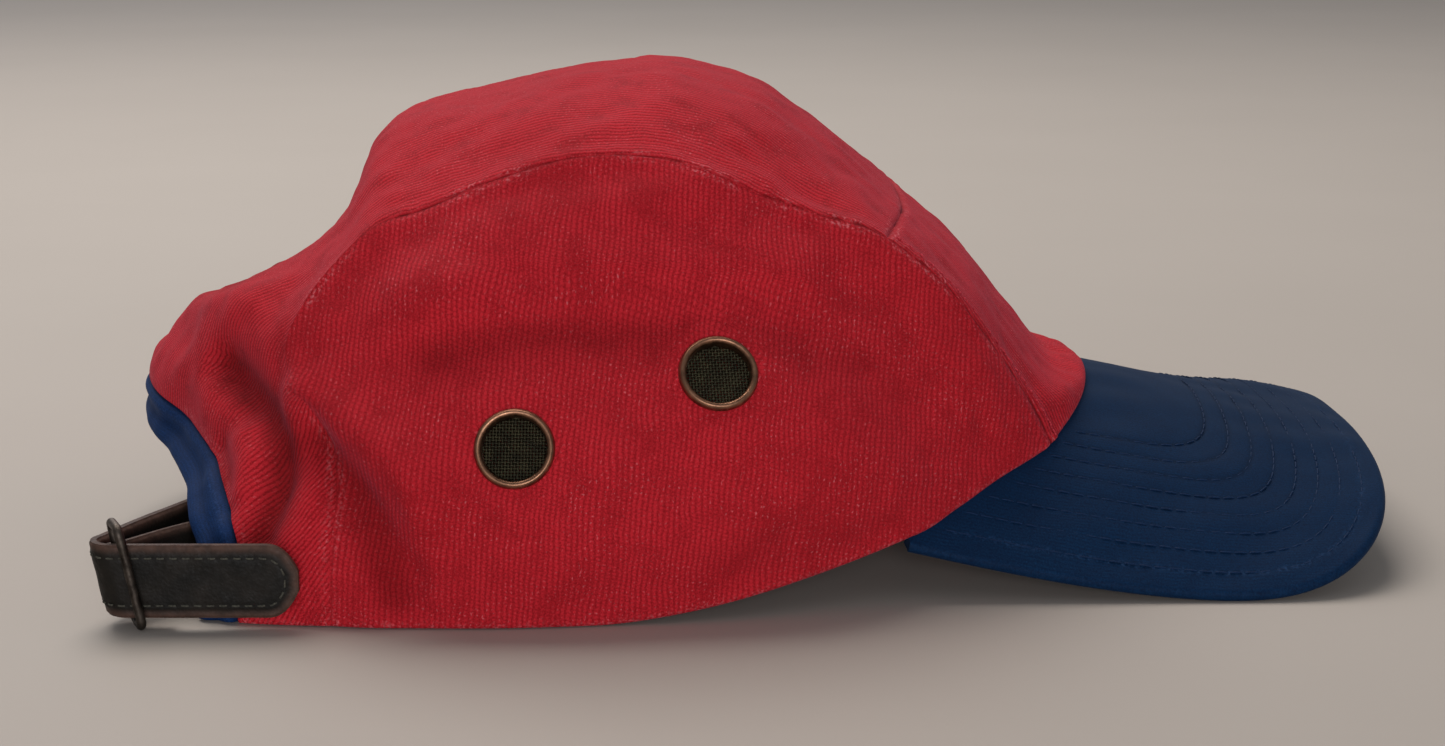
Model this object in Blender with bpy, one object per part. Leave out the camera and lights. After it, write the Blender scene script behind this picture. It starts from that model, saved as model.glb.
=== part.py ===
"""Camp cap with a low front panel, one long top panel that runs down the back, two
D-shaped side panels, a bent visor, a bound arch at the back and a leather strap held by a
wire loop. Metres, +Z up, +X towards the visor, +Y to the wearer's left. The origin is the
bottom centre of the cap's box."""

import math

import bmesh
import bpy
import numpy as np
from mathutils import kdtree

# Crown
CROWN_LENGTH = 0.2041
CROWN_HALF_WIDTH = 0.0895
CROWN_HEIGHT = 0.0998
WALL = 0.0016
GAP = 0.0003
SEAT_GAP = 0.0005
TOUCH = 0.000001

# Arch at the back, along the rim and upwards
RIM_TO_ARCH = 0.0185
ARCH_HEIGHT = 0.0320
ARCH_POWER = 3.2
BINDING_WIDTH = 0.0088
BINDING_THICKNESS = 0.0022

# Visor
VISOR_REACH = 0.0599
VISOR_HALF_WIDTH = 0.0720
VISOR_THICKNESS = 0.0027
VISOR_ROOT_HEIGHT = 0.0323
VISOR_FALL = 0.0130
VISOR_ROOT_BEND = 0.0325
VISOR_FRONT_BEND = 0.0136
VISOR_BEND_POWER = 2.42
VISOR_LEFT_EASE = 0.24
VISOR_CORNER_POWER = 3.3
VISOR_SQUARE_LENGTH = 0.0582
VISOR_TUCK = 0.0012

# Strap, tab and wire loop
STRAP_WIDTH = 0.0143
STRAP_THICKNESS = 0.0022
STRAP_END_ROUND = 0.0065
STRAP_END_CUT = 0.36
TAIL_LENGTH = 0.0340
TAB_THICKNESS = 0.0014
TAB_WIDTH = 0.0128
TAB_FLAP = 0.0090
LOOP_STAND_OFF = 0.0125
WIRE_DIAMETER = 0.0018
LOOP_HEADROOM = 0.0036
LOOP_AHEAD = 0.0029
LOOP_PLAY = 0.0005
STRAP_BASE = WIRE_DIAMETER + LOOP_PLAY
TURN_LEAN = 0.20
WALL_SLACK = 0.0017
TURN_SWEEP = math.radians(126.0)
WALL_STEP = 0.06

# Eyelets
EYELET_DIAMETER = 0.0154
EYELET_BORE = 0.0116
EYELET_BARREL_WALL = 0.0004
EYELET_FLANGE = 0.0012
EYELET_ROLL = 0.00084
MESH_THICKNESS = 0.0004
FLAT_ROUND_EYELET = 0.0100
FLAT_FADE = 0.0070

# How finely the cloth is divided
ROWS_PER_SECTION = 2
STRIP_CELLS = 20
SURROUND_CELLS = 4
BINDING_CELLS = 3
VISOR_CELLS_OUT = 5
ROUND_SIDES = 20
WIRE_SIDES = 8
LOOP_BEND_CELLS = 4
STRAP_END_CELLS = 4
STRAP_RUN_CELLS = 24
TAB_RUN_CELLS = 12
TURN_CELLS = 9

# Crown sections from the visor to the back of the rim. Each joins the side seam to the
# centre line. Lengths along, out and up are shares of the crown's length, half width and
# height. The hug columns say how far the section's first handle goes from the seam to the
# centre, reach is the length of the handle at the centre, and ridge lifts its middle.
SECTION_COLUMNS = ("seam_along", "seam_out", "seam_up", "mid_along", "mid_up",
                   "hug_along", "hug_out", "hug_up", "reach", "ridge")
SECTIONS = np.array([
    (0.943, 0.473, 0.250, 1.000, 0.317, 0.50, 0.25, 0.60, 0.50, 0.000),
    (0.929, 0.484, 0.304, 0.992, 0.343, 0.50, 0.27, 0.60, 0.50, 0.000),
    (0.907, 0.503, 0.381, 0.955, 0.367, 0.60, 0.30, 0.60, 0.50, 0.000),
    (0.875, 0.529, 0.476, 0.913, 0.470, 0.60, 0.30, 0.60, 0.50, 0.004),
    (0.830, 0.558, 0.595, 0.860, 0.596, 0.60, 0.30, 0.60, 0.50, 0.006),
    (0.771, 0.581, 0.695, 0.800, 0.698, 0.55, 0.30, 0.60, 0.50, 0.010),
    (0.699, 0.609, 0.751, 0.724, 0.834, 0.45, 0.28, 0.45, 0.55, 0.006),
    (0.630, 0.626, 0.800, 0.648, 0.945, 0.35, 0.26, 0.55, 0.58, 0.000),
    (0.552, 0.626, 0.857, 0.561, 0.990, 0.33, 0.28, 0.62, 0.58, 0.000),
    (0.473, 0.626, 0.862, 0.473, 0.980, 0.33, 0.28, 0.62, 0.58, 0.000),
    (0.394, 0.637, 0.819, 0.385, 0.943, 0.33, 0.28, 0.62, 0.55, 0.000),
    (0.326, 0.646, 0.762, 0.303, 0.908, 0.33, 0.30, 0.55, 0.50, 0.000),
    (0.280, 0.648, 0.732, 0.252, 0.846, 0.33, 0.30, 0.45, 0.45, 0.012),
    (0.245, 0.663, 0.671, 0.220, 0.672, 0.33, 0.30, 0.40, 0.45, 0.030),
    (0.211, 0.690, 0.585, 0.160, 0.568, 0.33, 0.25, 0.40, 0.48, 0.046),
    (0.193, 0.698, 0.497, 0.070, 0.494, 0.35, 0.20, 0.35, 0.50, 0.062),
    (0.211, 0.726, 0.416, 0.028, 0.412, 0.45, 0.10, 0.35, 0.28, 0.036),
    (0.235, 0.790, 0.366, -0.001, 0.356, 0.55, 0.06, 0.40, 0.22, 0.006),
    (0.242, 0.910, 0.247, -0.007, 0.250, 0.58, 0.03, 0.50, 0.20, 0.000),
    (0.244, 0.970, 0.125, -0.004, 0.125, 0.78, 0.02, 0.50, 0.46, 0.000),
    (0.246, 0.980, 0.000, -0.008, 0.000, 0.93, 0.02, 0.50, 0.72, 0.000),
])
FRONT_CORNER = 5
REAR_CORNER = 15
LAST_SECTION = len(SECTIONS) - 1

# Rim of a side panel in plan, from the foot of its front seam to the foot of its rear seam
RIM_COLUMNS = ("along", "out")
RIM = np.array([
    (0.943, 0.473),
    (0.923, 0.525),
    (0.884, 0.606),
    (0.842, 0.694),
    (0.791, 0.782),
    (0.684, 0.877),
    (0.591, 0.939),
    (0.459, 0.986),
    (0.357, 1.000),
    (0.290, 0.998),
    (0.246, 0.980),
])
VISOR_CORNER = 4
RIM_TOUCH = 0.49
RIM_LIFT_POWER = 1.6

# How far a side panel swells past the plain surface between its four edges, as shares of
# the half width, at stations from its front to its rear seam
SWELL_COLUMNS = ("station", "fifth_up", "two_fifths_up", "three_fifths_up", "four_fifths_up")
SWELL = np.array([
    (0.00, 0.000, 0.000, 0.000, 0.000),
    (0.12, 0.030, 0.050, 0.045, 0.030),
    (0.27, 0.040, 0.066, 0.075, 0.052),
    (0.42, 0.106, 0.152, 0.112, 0.078),
    (0.63, 0.074, 0.136, 0.140, 0.122),
    (0.85, 0.030, 0.065, 0.075, 0.060),
    (1.00, 0.000, 0.000, 0.000, 0.000),
])
SWELL_HEIGHTS = np.array([0.0, 0.2, 0.4, 0.6, 0.8, 1.0])

# Folds pressed into the crown: both ends along, out and up, then the half width of the
# fold and how far it stands out (or in, below zero), as shares of the crown's height
FOLD_COLUMNS = ("along_a", "out_a", "up_a", "along_b", "out_b", "up_b", "width", "rise")
FOLDS = np.array([
    (0.200, -0.78, 0.42, 0.330, -0.95, 0.27, 0.075, 0.030),
    (0.225, -0.90, 0.34, 0.320, -0.99, 0.12, 0.085, -0.040),
    (0.110, -0.62, 0.44, 0.165, -0.80, 0.26, 0.075, -0.022),
    (0.085, -0.60, 0.24, 0.055, -0.42, 0.28, 0.120, -0.040),
    (0.340, -0.76, 0.75, 0.600, -0.69, 0.81, 0.060, 0.034),
    (0.420, -0.78, 0.66, 0.740, -0.70, 0.62, 0.060, -0.022),
    (0.300, 0.95, 0.30, 0.200, 0.85, 0.45, 0.080, 0.026),
    (0.330, 0.98, 0.16, 0.220, 0.93, 0.26, 0.090, -0.040),
    (0.420, 0.78, 0.66, 0.700, 0.72, 0.60, 0.080, -0.032),
    (0.080, 0.45, 0.48, 0.245, 0.50, 0.72, 0.170, -0.105),
])
PUSH_AXIS = (0.47, 0.0, 0.10)
CROWN_MIDDLE = (0.5, 0.0, 0.3)
ARCH_STEPS = 30
SAME_WALL = 0.3

# The far side of the back is drawn in by the strap
DRAWN_IN = 0.16
DRAWN_IN_FROM = 0.32

# The face of an eyelet from its bore to its edge, as shares of its width and of its flange
EYELET_FACE = ((0.0, 0.0), (0.25, 0.9), (0.6, 1.0), (0.9, 0.55), (1.0, 0.0))

# Eyelets on a side panel: name, along and up
EYELETS = (("front", 0.606, 0.472), ("rear", 0.419, 0.352))
SIDES = (("right", -1.0), ("left", 1.0))

# Places where the strap and the tab follow the wall: 0 is the arch's edge, 1 its band's inner
# edge, and below 0 they lie behind the red cloth
STRAP_ALONG = (0.9, 0.4, -0.2, -0.8)
TAB_ALONG = (1.4, 0.85, 0.3, -0.3, -0.8)

# Strap route in plan between its turn at the loop and the far side of the arch, along and out
STRAP_ROUTE = ((0.083, -0.640), (0.125, -0.400), (0.150, -0.120), (0.160, 0.170),
               (0.160, 0.440), (0.152, 0.620))

COLOURS = {
    "red_cloth": (0.50, 0.020, 0.040),
    "blue_cloth": (0.010, 0.055, 0.20),
    "leather": (0.035, 0.022, 0.016),
    "brass": (0.25, 0.13, 0.065),
    "wire_mesh": (0.045, 0.042, 0.036),
}


def column(table, names, name):
    """Return one named column of a table."""
    return table[..., names.index(name)]


def smooth_rows(rows, place):
    """Read a table at fractional row numbers on a smooth curve through its rows."""
    rows = np.asarray(rows, float)
    padded = np.vstack([2 * rows[0] - rows[1], rows, 2 * rows[-1] - rows[-2]])
    place = np.clip(np.asarray(place, float), 0, len(rows) - 1)
    first = np.minimum(place.astype(int), len(rows) - 2)
    u = (place - first)[..., None]
    a, b, c, d = (padded[first + step] for step in range(4))
    return 0.5 * (2 * b + (c - a) * u + (2 * a - 5 * b + 4 * c - d) * u ** 2
                  + (3 * b - a - 3 * c + d) * u ** 3)


def fade(value, low, high):
    """Rise smoothly from 0 at low to 1 at high."""
    u = np.clip((value - low) / (high - low), 0, 1)
    return u * u * (3 - 2 * u)


def unit(vectors):
    """Scale vectors to length one."""
    length = np.linalg.norm(vectors, axis=-1, keepdims=True)
    return vectors / np.maximum(length, 1e-12)


def crown_point(along, out, up):
    """Turn shares of the crown's sizes into a point. Along is 0 at the back of the crown."""
    shape = np.broadcast(along, out, up).shape
    point = np.empty(shape + (3,))
    point[..., 0] = np.asarray(along) * CROWN_LENGTH
    point[..., 1] = np.asarray(out) * CROWN_HALF_WIDTH
    point[..., 2] = np.asarray(up) * CROWN_HEIGHT
    return point


def visor_top(x, y):
    """Height of the visor's upper surface, which bends down on both sides."""
    root = CROWN_LENGTH
    corner = RIM[VISOR_CORNER][0] * CROWN_LENGTH
    forward = np.clip((x - corner) / (root + VISOR_REACH - corner), 0, 1)
    bend = VISOR_ROOT_BEND + (VISOR_FRONT_BEND - VISOR_ROOT_BEND) * forward ** VISOR_BEND_POWER
    middle = VISOR_ROOT_HEIGHT - VISOR_FALL * (x - root) / VISOR_REACH
    out = y / VISOR_HALF_WIDTH
    bend *= np.where(out > 0, 1 - VISOR_LEFT_EASE * forward, 1.0)
    return middle - bend * out ** 2


def strip_point(row, across):
    """Point on the front, top and back strip. Across runs from -1 at the right seam to 1."""
    table = smooth_rows(SECTIONS, row)
    get = {name: table[..., i] for i, name in enumerate(SECTION_COLUMNS)}
    seam = crown_point(get["seam_along"], get["seam_out"], get["seam_up"])
    middle = crown_point(get["mid_along"], 0 * get["mid_up"], get["mid_up"])
    hug = np.stack([get["hug_along"], get["hug_out"], get["hug_up"]], -1)
    handle = seam + hug * (middle - seam)
    reach = middle.copy()
    reach[..., 1] += get["reach"] * seam[..., 1]
    u = (1 - np.abs(across))[..., None]
    point = ((1 - u) ** 3 * seam + 3 * u * (1 - u) ** 2 * handle
             + 3 * u ** 2 * (1 - u) * reach + u ** 3 * middle)
    point[..., 2] += get["ridge"] * CROWN_HEIGHT * np.sin(math.pi * u[..., 0]) ** 1.5
    point[..., 1] *= np.where(across < 0, -1.0, 1.0)
    return point


def seated_strip(row, across):
    """The strip with its front edge laid on the visor."""
    row, across = np.broadcast_arrays(np.asarray(row, float), np.asarray(across, float))
    point = strip_point(row, across)
    edge = strip_point(0 * row, across)
    lift = visor_top(edge[..., 0], edge[..., 1]) + SEAT_GAP - edge[..., 2]
    point[..., 2] += lift * np.clip(1 - row / 2, 0, 1) ** 2
    point[..., 2] *= np.where(row >= LAST_SECTION, 0.0, 1.0)
    return point


def strip_surface(row, across):
    """The strip seated on the visor, with its folds pressed in."""
    return pressed(seated_strip(row, across))


def rim_point(station, sign):
    """Rim of a side panel, from the front seam at 0 to the rear seam at 1."""
    plan = smooth_rows(RIM, station * (len(RIM) - 1))
    point = crown_point(plan[..., 0], sign * plan[..., 1], 0 * plan[..., 0])
    corner = crown_point(RIM[VISOR_CORNER][0], sign * RIM[VISOR_CORNER][1], 0.0)
    corner_lift = visor_top(corner[0], corner[1]) + SEAT_GAP
    free = np.clip((plan[..., 0] - RIM_TOUCH) / (RIM[VISOR_CORNER][0] - RIM_TOUCH), 0, 1)
    on_visor = plan[..., 0] >= RIM[VISOR_CORNER][0]
    point[..., 2] = np.where(on_visor, visor_top(point[..., 0], point[..., 1]) + SEAT_GAP,
                             corner_lift * free ** RIM_LIFT_POWER)
    return point


def side_point(station, height, sign):
    """A side panel between its rim and seams, before folds. Both run from 0 to 1."""
    station, height = np.broadcast_arrays(np.asarray(station, float), np.asarray(height, float))
    v = height[..., None]
    u = station[..., None]
    bottom = rim_point(station, sign)
    top = seated_strip(FRONT_CORNER + station * (REAR_CORNER - FRONT_CORNER), sign)
    front = seated_strip(height * FRONT_CORNER, sign)
    rear = seated_strip(LAST_SECTION - height * (LAST_SECTION - REAR_CORNER), sign)
    corners = ((1 - u) * (1 - v) * seated_strip(np.zeros_like(station), sign)
               + u * (1 - v) * seated_strip(np.full_like(station, LAST_SECTION), sign)
               + (1 - u) * v * seated_strip(np.full_like(station, FRONT_CORNER), sign)
               + u * v * seated_strip(np.full_like(station, REAR_CORNER), sign))
    point = (1 - v) * bottom + v * top + (1 - u) * front + u * rear - corners
    stations = column(SWELL, SWELL_COLUMNS, "station")
    place = np.interp(station, stations, np.arange(len(stations)))
    rows = smooth_rows(SWELL, place)[..., 1:]
    profile = np.concatenate([0 * rows[..., :1], rows, 0 * rows[..., :1]], -1)
    swell = smooth_across(profile, height * (len(SWELL_HEIGHTS) - 1))
    point[..., 1] += sign * swell * CROWN_HALF_WIDTH
    return point


def smooth_across(profile, place):
    """Read the last axis of profile at fractional places on a smooth curve."""
    last = profile.shape[-1] - 1
    first = np.minimum(place.astype(int), last - 1)
    u = place - first

    def at(step):
        index = np.clip(first + step, 0, last)
        return np.take_along_axis(profile, index[..., None], -1)[..., 0]

    a, b, c, d = at(-1), at(0), at(1), at(2)
    return 0.5 * (2 * b + (c - a) * u + (2 * a - 5 * b + 4 * c - d) * u ** 2
                  + (3 * b - a - 3 * c + d) * u ** 3)


def pressed(point):
    """Press the folds into the cloth and draw in the far side of the back."""
    point = np.array(point, float)
    axis = crown_point(*PUSH_AXIS)
    size = np.array([CROWN_LENGTH / 2, CROWN_HALF_WIDTH, CROWN_HEIGHT])
    outward = unit((point - axis) / size ** 2)
    outward[..., 2] *= fade(point[..., 2], 0.0, 0.15 * CROWN_HEIGHT)
    rise = np.zeros(point.shape[:-1])
    for fold in FOLDS:
        a = crown_point(*fold[0:3])
        b = crown_point(*fold[3:6])
        width, height = fold[6:8] * CROWN_HEIGHT
        share = np.clip((point - a) @ (b - a) / ((b - a) @ (b - a)), 0, 1)
        off = np.linalg.norm(point - a - share[..., None] * (b - a), axis=-1)
        rise += height * np.exp(-(off / width) ** 2)
    point += outward * rise[..., None]
    drawn = DRAWN_IN * fade(-point[..., 0], -DRAWN_IN_FROM * CROWN_LENGTH, 0.0)
    point[..., 1] *= np.where(point[..., 1] > 0, 1 - drawn, 1.0)
    return point


def eyelet_frames():
    """Centre and outward direction of each eyelet, by name, on the pressed side panels."""
    frames = {}
    grid = np.linspace(0, 1, 161)
    station, height = np.meshgrid(grid, grid, indexing="ij")
    for side, sign in SIDES:
        surface = pressed(side_point(station, height, sign))
        slope_u, slope_v = np.gradient(surface, axis=(0, 1))
        normal = unit(np.cross(slope_u, slope_v))
        normal *= np.where(normal[..., 1:2] * sign < 0, -1, 1)
        for name, along, up in EYELETS:
            spot = crown_point(along, 0.0, up)
            off = np.hypot(surface[..., 0] - spot[0], surface[..., 2] - spot[2])
            near = off < FLAT_ROUND_EYELET
            i, j = np.unravel_index(np.argmin(off), off.shape)
            frames[f"{name}_{side}"] = (surface[i, j], unit(normal[near].mean(0)))
    return frames


def side_surface(station, height, side, sign, frames):
    """A side panel with its folds, lying flat round its eyelets."""
    point = pressed(side_point(station, height, sign))
    for name, _, _ in EYELETS:
        centre, normal = frames[f"{name}_{side}"]
        off = point - centre
        above = off @ normal
        radius = np.linalg.norm(off - above[..., None] * normal, axis=-1)
        flat = 1 - fade(radius, FLAT_ROUND_EYELET, FLAT_ROUND_EYELET + FLAT_FADE)
        flat *= np.abs(above) < 2 * FLAT_ROUND_EYELET
        point -= (above * flat)[..., None] * normal
    return point


def rim_share(distance):
    """How far across the last section lies a point of the rim at a distance from the seam."""
    across = np.linspace(-1, 0, 400)
    rim = strip_point(np.full_like(across, LAST_SECTION), across)
    steps = np.linalg.norm(np.diff(rim, axis=0), axis=1)
    return np.interp(distance, np.concatenate([[0], np.cumsum(steps)]), across)


def arch_line(inset, cells):
    """Rows and places across of an arch inside the outermost one, at even steps."""
    foot = -rim_share(RIM_TO_ARCH + inset)
    top = ARCH_HEIGHT - inset
    angle = np.linspace(0, math.pi / 2, 200)
    across = -foot * np.cos(angle) ** (2 / ARCH_POWER)
    target = top * np.sin(angle) ** (2 / ARCH_POWER)
    low = np.full_like(across, REAR_CORNER - 2.0)
    high = np.full_like(across, float(LAST_SECTION))
    for _ in range(40):
        half = (low + high) / 2
        above = strip_point(half, across)[..., 2] > target
        low = np.where(above, half, low)
        high = np.where(above, high, half)
    row = np.where(target > 0, high, LAST_SECTION)
    line = strip_point(row, across)
    steps = np.linalg.norm(np.diff(line, axis=0), axis=1)
    length = np.concatenate([[0], np.cumsum(steps)])
    even = length[-1] * np.linspace(0, 1, cells // 2 + 1)
    row = np.interp(even, length, row)
    across = np.interp(even, length, across)
    return np.concatenate([row, row[-2::-1]]), np.concatenate([across, -across[-2::-1]])


def arch_across(inset, height):
    """Place across the strip where an arch's right leg stands at a height."""
    row, across = arch_line(inset, 2 * ARCH_STEPS)
    leg = strip_point(row, across)[:ARCH_STEPS + 1, 2]
    return np.interp(height, leg, across[:ARCH_STEPS + 1])


def strip_grid(start, end):
    """Points of the strip between two of its sections."""
    rows = np.linspace(start, end, (end - start) * ROWS_PER_SECTION + 1)[:, None]
    return strip_surface(rows, np.linspace(-1, 1, STRIP_CELLS + 1))


def surround_cells():
    """Number of cells along the arch and along the three sides that surround it."""
    return STRIP_CELLS + 2 * (LAST_SECTION - REAR_CORNER) * ROWS_PER_SECTION


def surround_grid():
    """Points of the strip from its rear corners and seams inwards to the arch."""
    up = np.linspace(LAST_SECTION, REAR_CORNER, (surround_cells() - STRIP_CELLS) // 2 + 1)
    over = np.linspace(-1, 1, STRIP_CELLS + 1)[1:-1]
    row = np.concatenate([up, np.full_like(over, REAR_CORNER), up[::-1]])
    across = np.concatenate([np.full_like(up, -1), over, np.full_like(up, 1)])
    arch_row, arch_place = arch_line(0.0, surround_cells())
    share = np.linspace(0, 1, SURROUND_CELLS + 1)[:, None]
    return strip_surface(row + (arch_row - row) * share, across + (arch_place - across) * share)


def side_grid(side, sign, frames):
    """Points of a side panel, from front to rear seam and from rim to top."""
    cells_up = FRONT_CORNER * ROWS_PER_SECTION
    cells_along = (REAR_CORNER - FRONT_CORNER) * ROWS_PER_SECTION
    station, height = np.meshgrid(np.linspace(0, 1, cells_along + 1),
                                  np.linspace(0, 1, cells_up + 1), indexing="ij")
    return side_surface(station, height, side, sign, frames)


def binding_grid():
    """Points of the band round the arch, from its outer edge to its inner edge."""
    lines = []
    for inset in np.linspace(0, BINDING_WIDTH, BINDING_CELLS + 1):
        row, across = arch_line(inset, surround_cells())
        lines.append(strip_surface(row, across))
    return np.array(lines)


def weld(grids):
    """Points and four-cornered faces of a panel made of grids that meet, facing outwards."""
    points = np.concatenate([grid.reshape(-1, 3) for grid in grids])
    places = np.round(points / TOUCH).astype(int)
    _, first, number = np.unique(places, axis=0, return_index=True, return_inverse=True)
    number = number.reshape(-1)
    faces = []
    start = 0
    for grid in grids:
        rows, lines = grid.shape[:2]
        index = number[start:start + rows * lines].reshape(rows, lines)
        quads = np.stack([index[:-1, :-1], index[1:, :-1], index[1:, 1:], index[:-1, 1:]], -1)
        quads = quads.reshape(-1, 4)
        corners = points[first][quads]
        away = corners.mean(1) - crown_point(*CROWN_MIDDLE)
        inward = (face_normals(corners) * away).sum() < 0
        faces.append(quads[:, ::-1] if inward else quads)
        start += rows * lines
    return points[first], np.concatenate(faces)


def face_normals(corners):
    """Normals of four-cornered faces, as long as twice their area."""
    return np.cross(corners[:, 2] - corners[:, 0], corners[:, 3] - corners[:, 1])


def point_normals(points, faces):
    """Normals at the points of a panel."""
    normals = np.zeros_like(points)
    for k in range(4):
        np.add.at(normals, faces[:, k], face_normals(points[faces]))
    return unit(normals)


def border_edges(faces):
    """Edges along the border of a panel, with the panel on their left seen from outside."""
    edges = [tuple(edge) for k in range(4) for edge in faces[:, [k, (k + 1) % 4]].tolist()]
    known = set(edges)
    return [edge for edge in edges if edge[::-1] not in known]


def seam_normals(panels):
    """For each panel, normals averaged over all panels at a seam, and which points are on one."""
    own = {name: point_normals(*panel) for name, panel in panels.items()}
    points = np.concatenate([panel[0] for panel in panels.values()])
    normals = np.concatenate(list(own.values()))
    tree = kdtree.KDTree(len(points))
    for i, point in enumerate(points):
        tree.insert(point, i)
    tree.balance()
    near = [[i for _, i, _ in tree.find_range(point, GAP / 10)] for point in points]
    shared = unit(np.array([normals[found].sum(0) for found in near]))
    joined = np.array([len(found) > 1 for found in near])
    stops = np.cumsum([len(normal) for normal in own.values()])[:-1]
    return {name: (own[name], mean, on_seam) for name, mean, on_seam
            in zip(panels, np.split(shared, stops), np.split(joined, stops))}


def drawn_back(points, faces, own, shared, joined):
    """Draw a panel back from its seams by half the gap, square to their mitred walls."""
    walls = {}
    for edge in border_edges(faces):
        along = unit(points[edge[1]] - points[edge[0]])
        back = GAP / 2 if joined[edge[0]] and joined[edge[1]] else 0.0
        for corner in edge:
            wall = unit(np.cross(shared[corner], along))
            walls.setdefault(corner, []).append((wall, back))
    moved = points.copy()
    for corner, rules in walls.items():
        flat = np.eye(3) - np.outer(own[corner], own[corner])
        sides = np.array([wall for wall, _ in rules]) @ flat
        shift = np.linalg.lstsq(sides, np.array([back for _, back in rules]), rcond=SAME_WALL)[0]
        moved[corner] += flat @ shift
    return moved


def cloth_shell(panel, normals, thickness, seated):
    """Outer points, inner points and outer faces of a cloth panel."""
    points, faces = panel
    own, shared, joined = normals
    outer = drawn_back(points, faces, own, shared, joined)
    on_table = points[:, 2] < TOUCH
    outer[on_table, 2] = 0
    shared = shared.copy()
    shared[on_table, 2] = 0
    inner = outer - thickness * unit(shared)
    if seated:
        rim = sorted({corner for edge in border_edges(faces) for corner in edge
                      if not (joined[edge[0]] and joined[edge[1]])})
        inner[rim, 2] = seat_height(inner[rim], outer[rim])
    return outer, inner, faces


def seat_height(inner, outer):
    """Keep the cut edge of the cloth the gap above the visor, or level where it is free."""
    corner = RIM[VISOR_CORNER][0] * CROWN_LENGTH
    on_visor = outer[..., 0] >= corner - TOUCH
    return np.where(on_visor, visor_top(inner[..., 0], inner[..., 1]) + SEAT_GAP, outer[..., 2])


def add_mesh(name, points, faces, material):
    """Make an object from points and faces, with its faces pointing outwards."""
    mesh = bpy.data.meshes.new(name)
    mesh.from_pydata([tuple(point) for point in points], [], faces)
    shape = bmesh.new()
    shape.from_mesh(mesh)
    bmesh.ops.recalc_face_normals(shape, faces=shape.faces)
    shape.to_mesh(mesh)
    shape.free()
    mesh.materials.append(material)
    mesh.shade_smooth()
    mesh.set_sharp_from_angle(angle=math.radians(40))
    thing = bpy.data.objects.new(name, mesh)
    bpy.context.collection.objects.link(thing)
    return thing


def add_shell(name, outer, inner, faces, material):
    """Close the outer and inner points of a panel into one solid."""
    under = faces[:, ::-1] + len(outer)
    walls = [(b, a, a + len(outer), b + len(outer)) for a, b in border_edges(faces)]
    every = [tuple(face) for face in faces.tolist() + under.tolist() + walls]
    return add_mesh(name, np.concatenate([outer, inner]), every, material)


def add_loft(name, loops, material, closed=False):
    """Skin a row of loops with the same number of points, with caps unless it closes."""
    loops = np.asarray(loops)
    count, sides = loops.shape[:2]
    index = np.arange(count * sides).reshape(count, sides)
    faces = []
    for i in range(count if closed else count - 1):
        here, there = index[i], index[(i + 1) % count]
        for j in range(sides):
            k = (j + 1) % sides
            faces.append((int(here[j]), int(here[k]), int(there[k]), int(there[j])))
    if not closed:
        faces.append(tuple(int(corner) for corner in index[0]))
        faces.append(tuple(int(corner) for corner in index[-1][::-1]))
    return add_mesh(name, loops.reshape(-1, 3), faces, material)


def make_material(name, roughness, metallic):
    """A plain principled material in one of the cap's colours."""
    material = bpy.data.materials.new(name)
    material.use_nodes = True
    shader = material.node_tree.nodes["Principled BSDF"]
    shader.inputs["Base Color"].default_value = COLOURS[name] + (1.0,)
    shader.inputs["Roughness"].default_value = roughness
    shader.inputs["Metallic"].default_value = metallic
    return material


def visor_outline(count):
    """Right half of the visor's edge in plan, from the corner at the crown to the front."""
    corner = RIM[VISOR_CORNER][0] * CROWN_LENGTH
    widest = corner + VISOR_SQUARE_LENGTH
    angle = np.linspace(0, math.pi / 2, 300)
    x = widest + (CROWN_LENGTH + VISOR_REACH - widest) * np.sin(angle) ** (2 / VISOR_CORNER_POWER)
    y = -VISOR_HALF_WIDTH * np.cos(angle) ** (2 / VISOR_CORNER_POWER)
    start = -RIM[VISOR_CORNER][1] * CROWN_HALF_WIDTH - VISOR_THICKNESS / 2
    line = np.vstack([[corner, start], np.stack([x, y], -1)])
    return even_points(line, count)


def visor_root():
    """Right half of the line in plan where the crown's wall stands on the visor."""
    corner = VISOR_CORNER / (len(RIM) - 1)
    side_cells = VISOR_CORNER * ROWS_PER_SECTION
    side = rim_point(np.linspace(corner, 0, side_cells + 1), -1.0)[:, :2]
    across = np.linspace(-1, 0, STRIP_CELLS // 2 + 1)
    front = strip_point(np.zeros_like(across), across)[:, :2]
    return np.vstack([side, front[1:]])


def even_points(line, count):
    """Points evenly spaced along a polyline."""
    steps = np.linalg.norm(np.diff(line, axis=0), axis=1)
    length = np.concatenate([[0], np.cumsum(steps)])
    even = np.linspace(0, length[-1], count)
    return np.stack([np.interp(even, length, line[:, i]) for i in range(line.shape[1])], -1)


def mirrored_line(half):
    """Complete a right half in plan with its mirror image."""
    return np.vstack([half, half[-2::-1] * (1, -1)])


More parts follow.
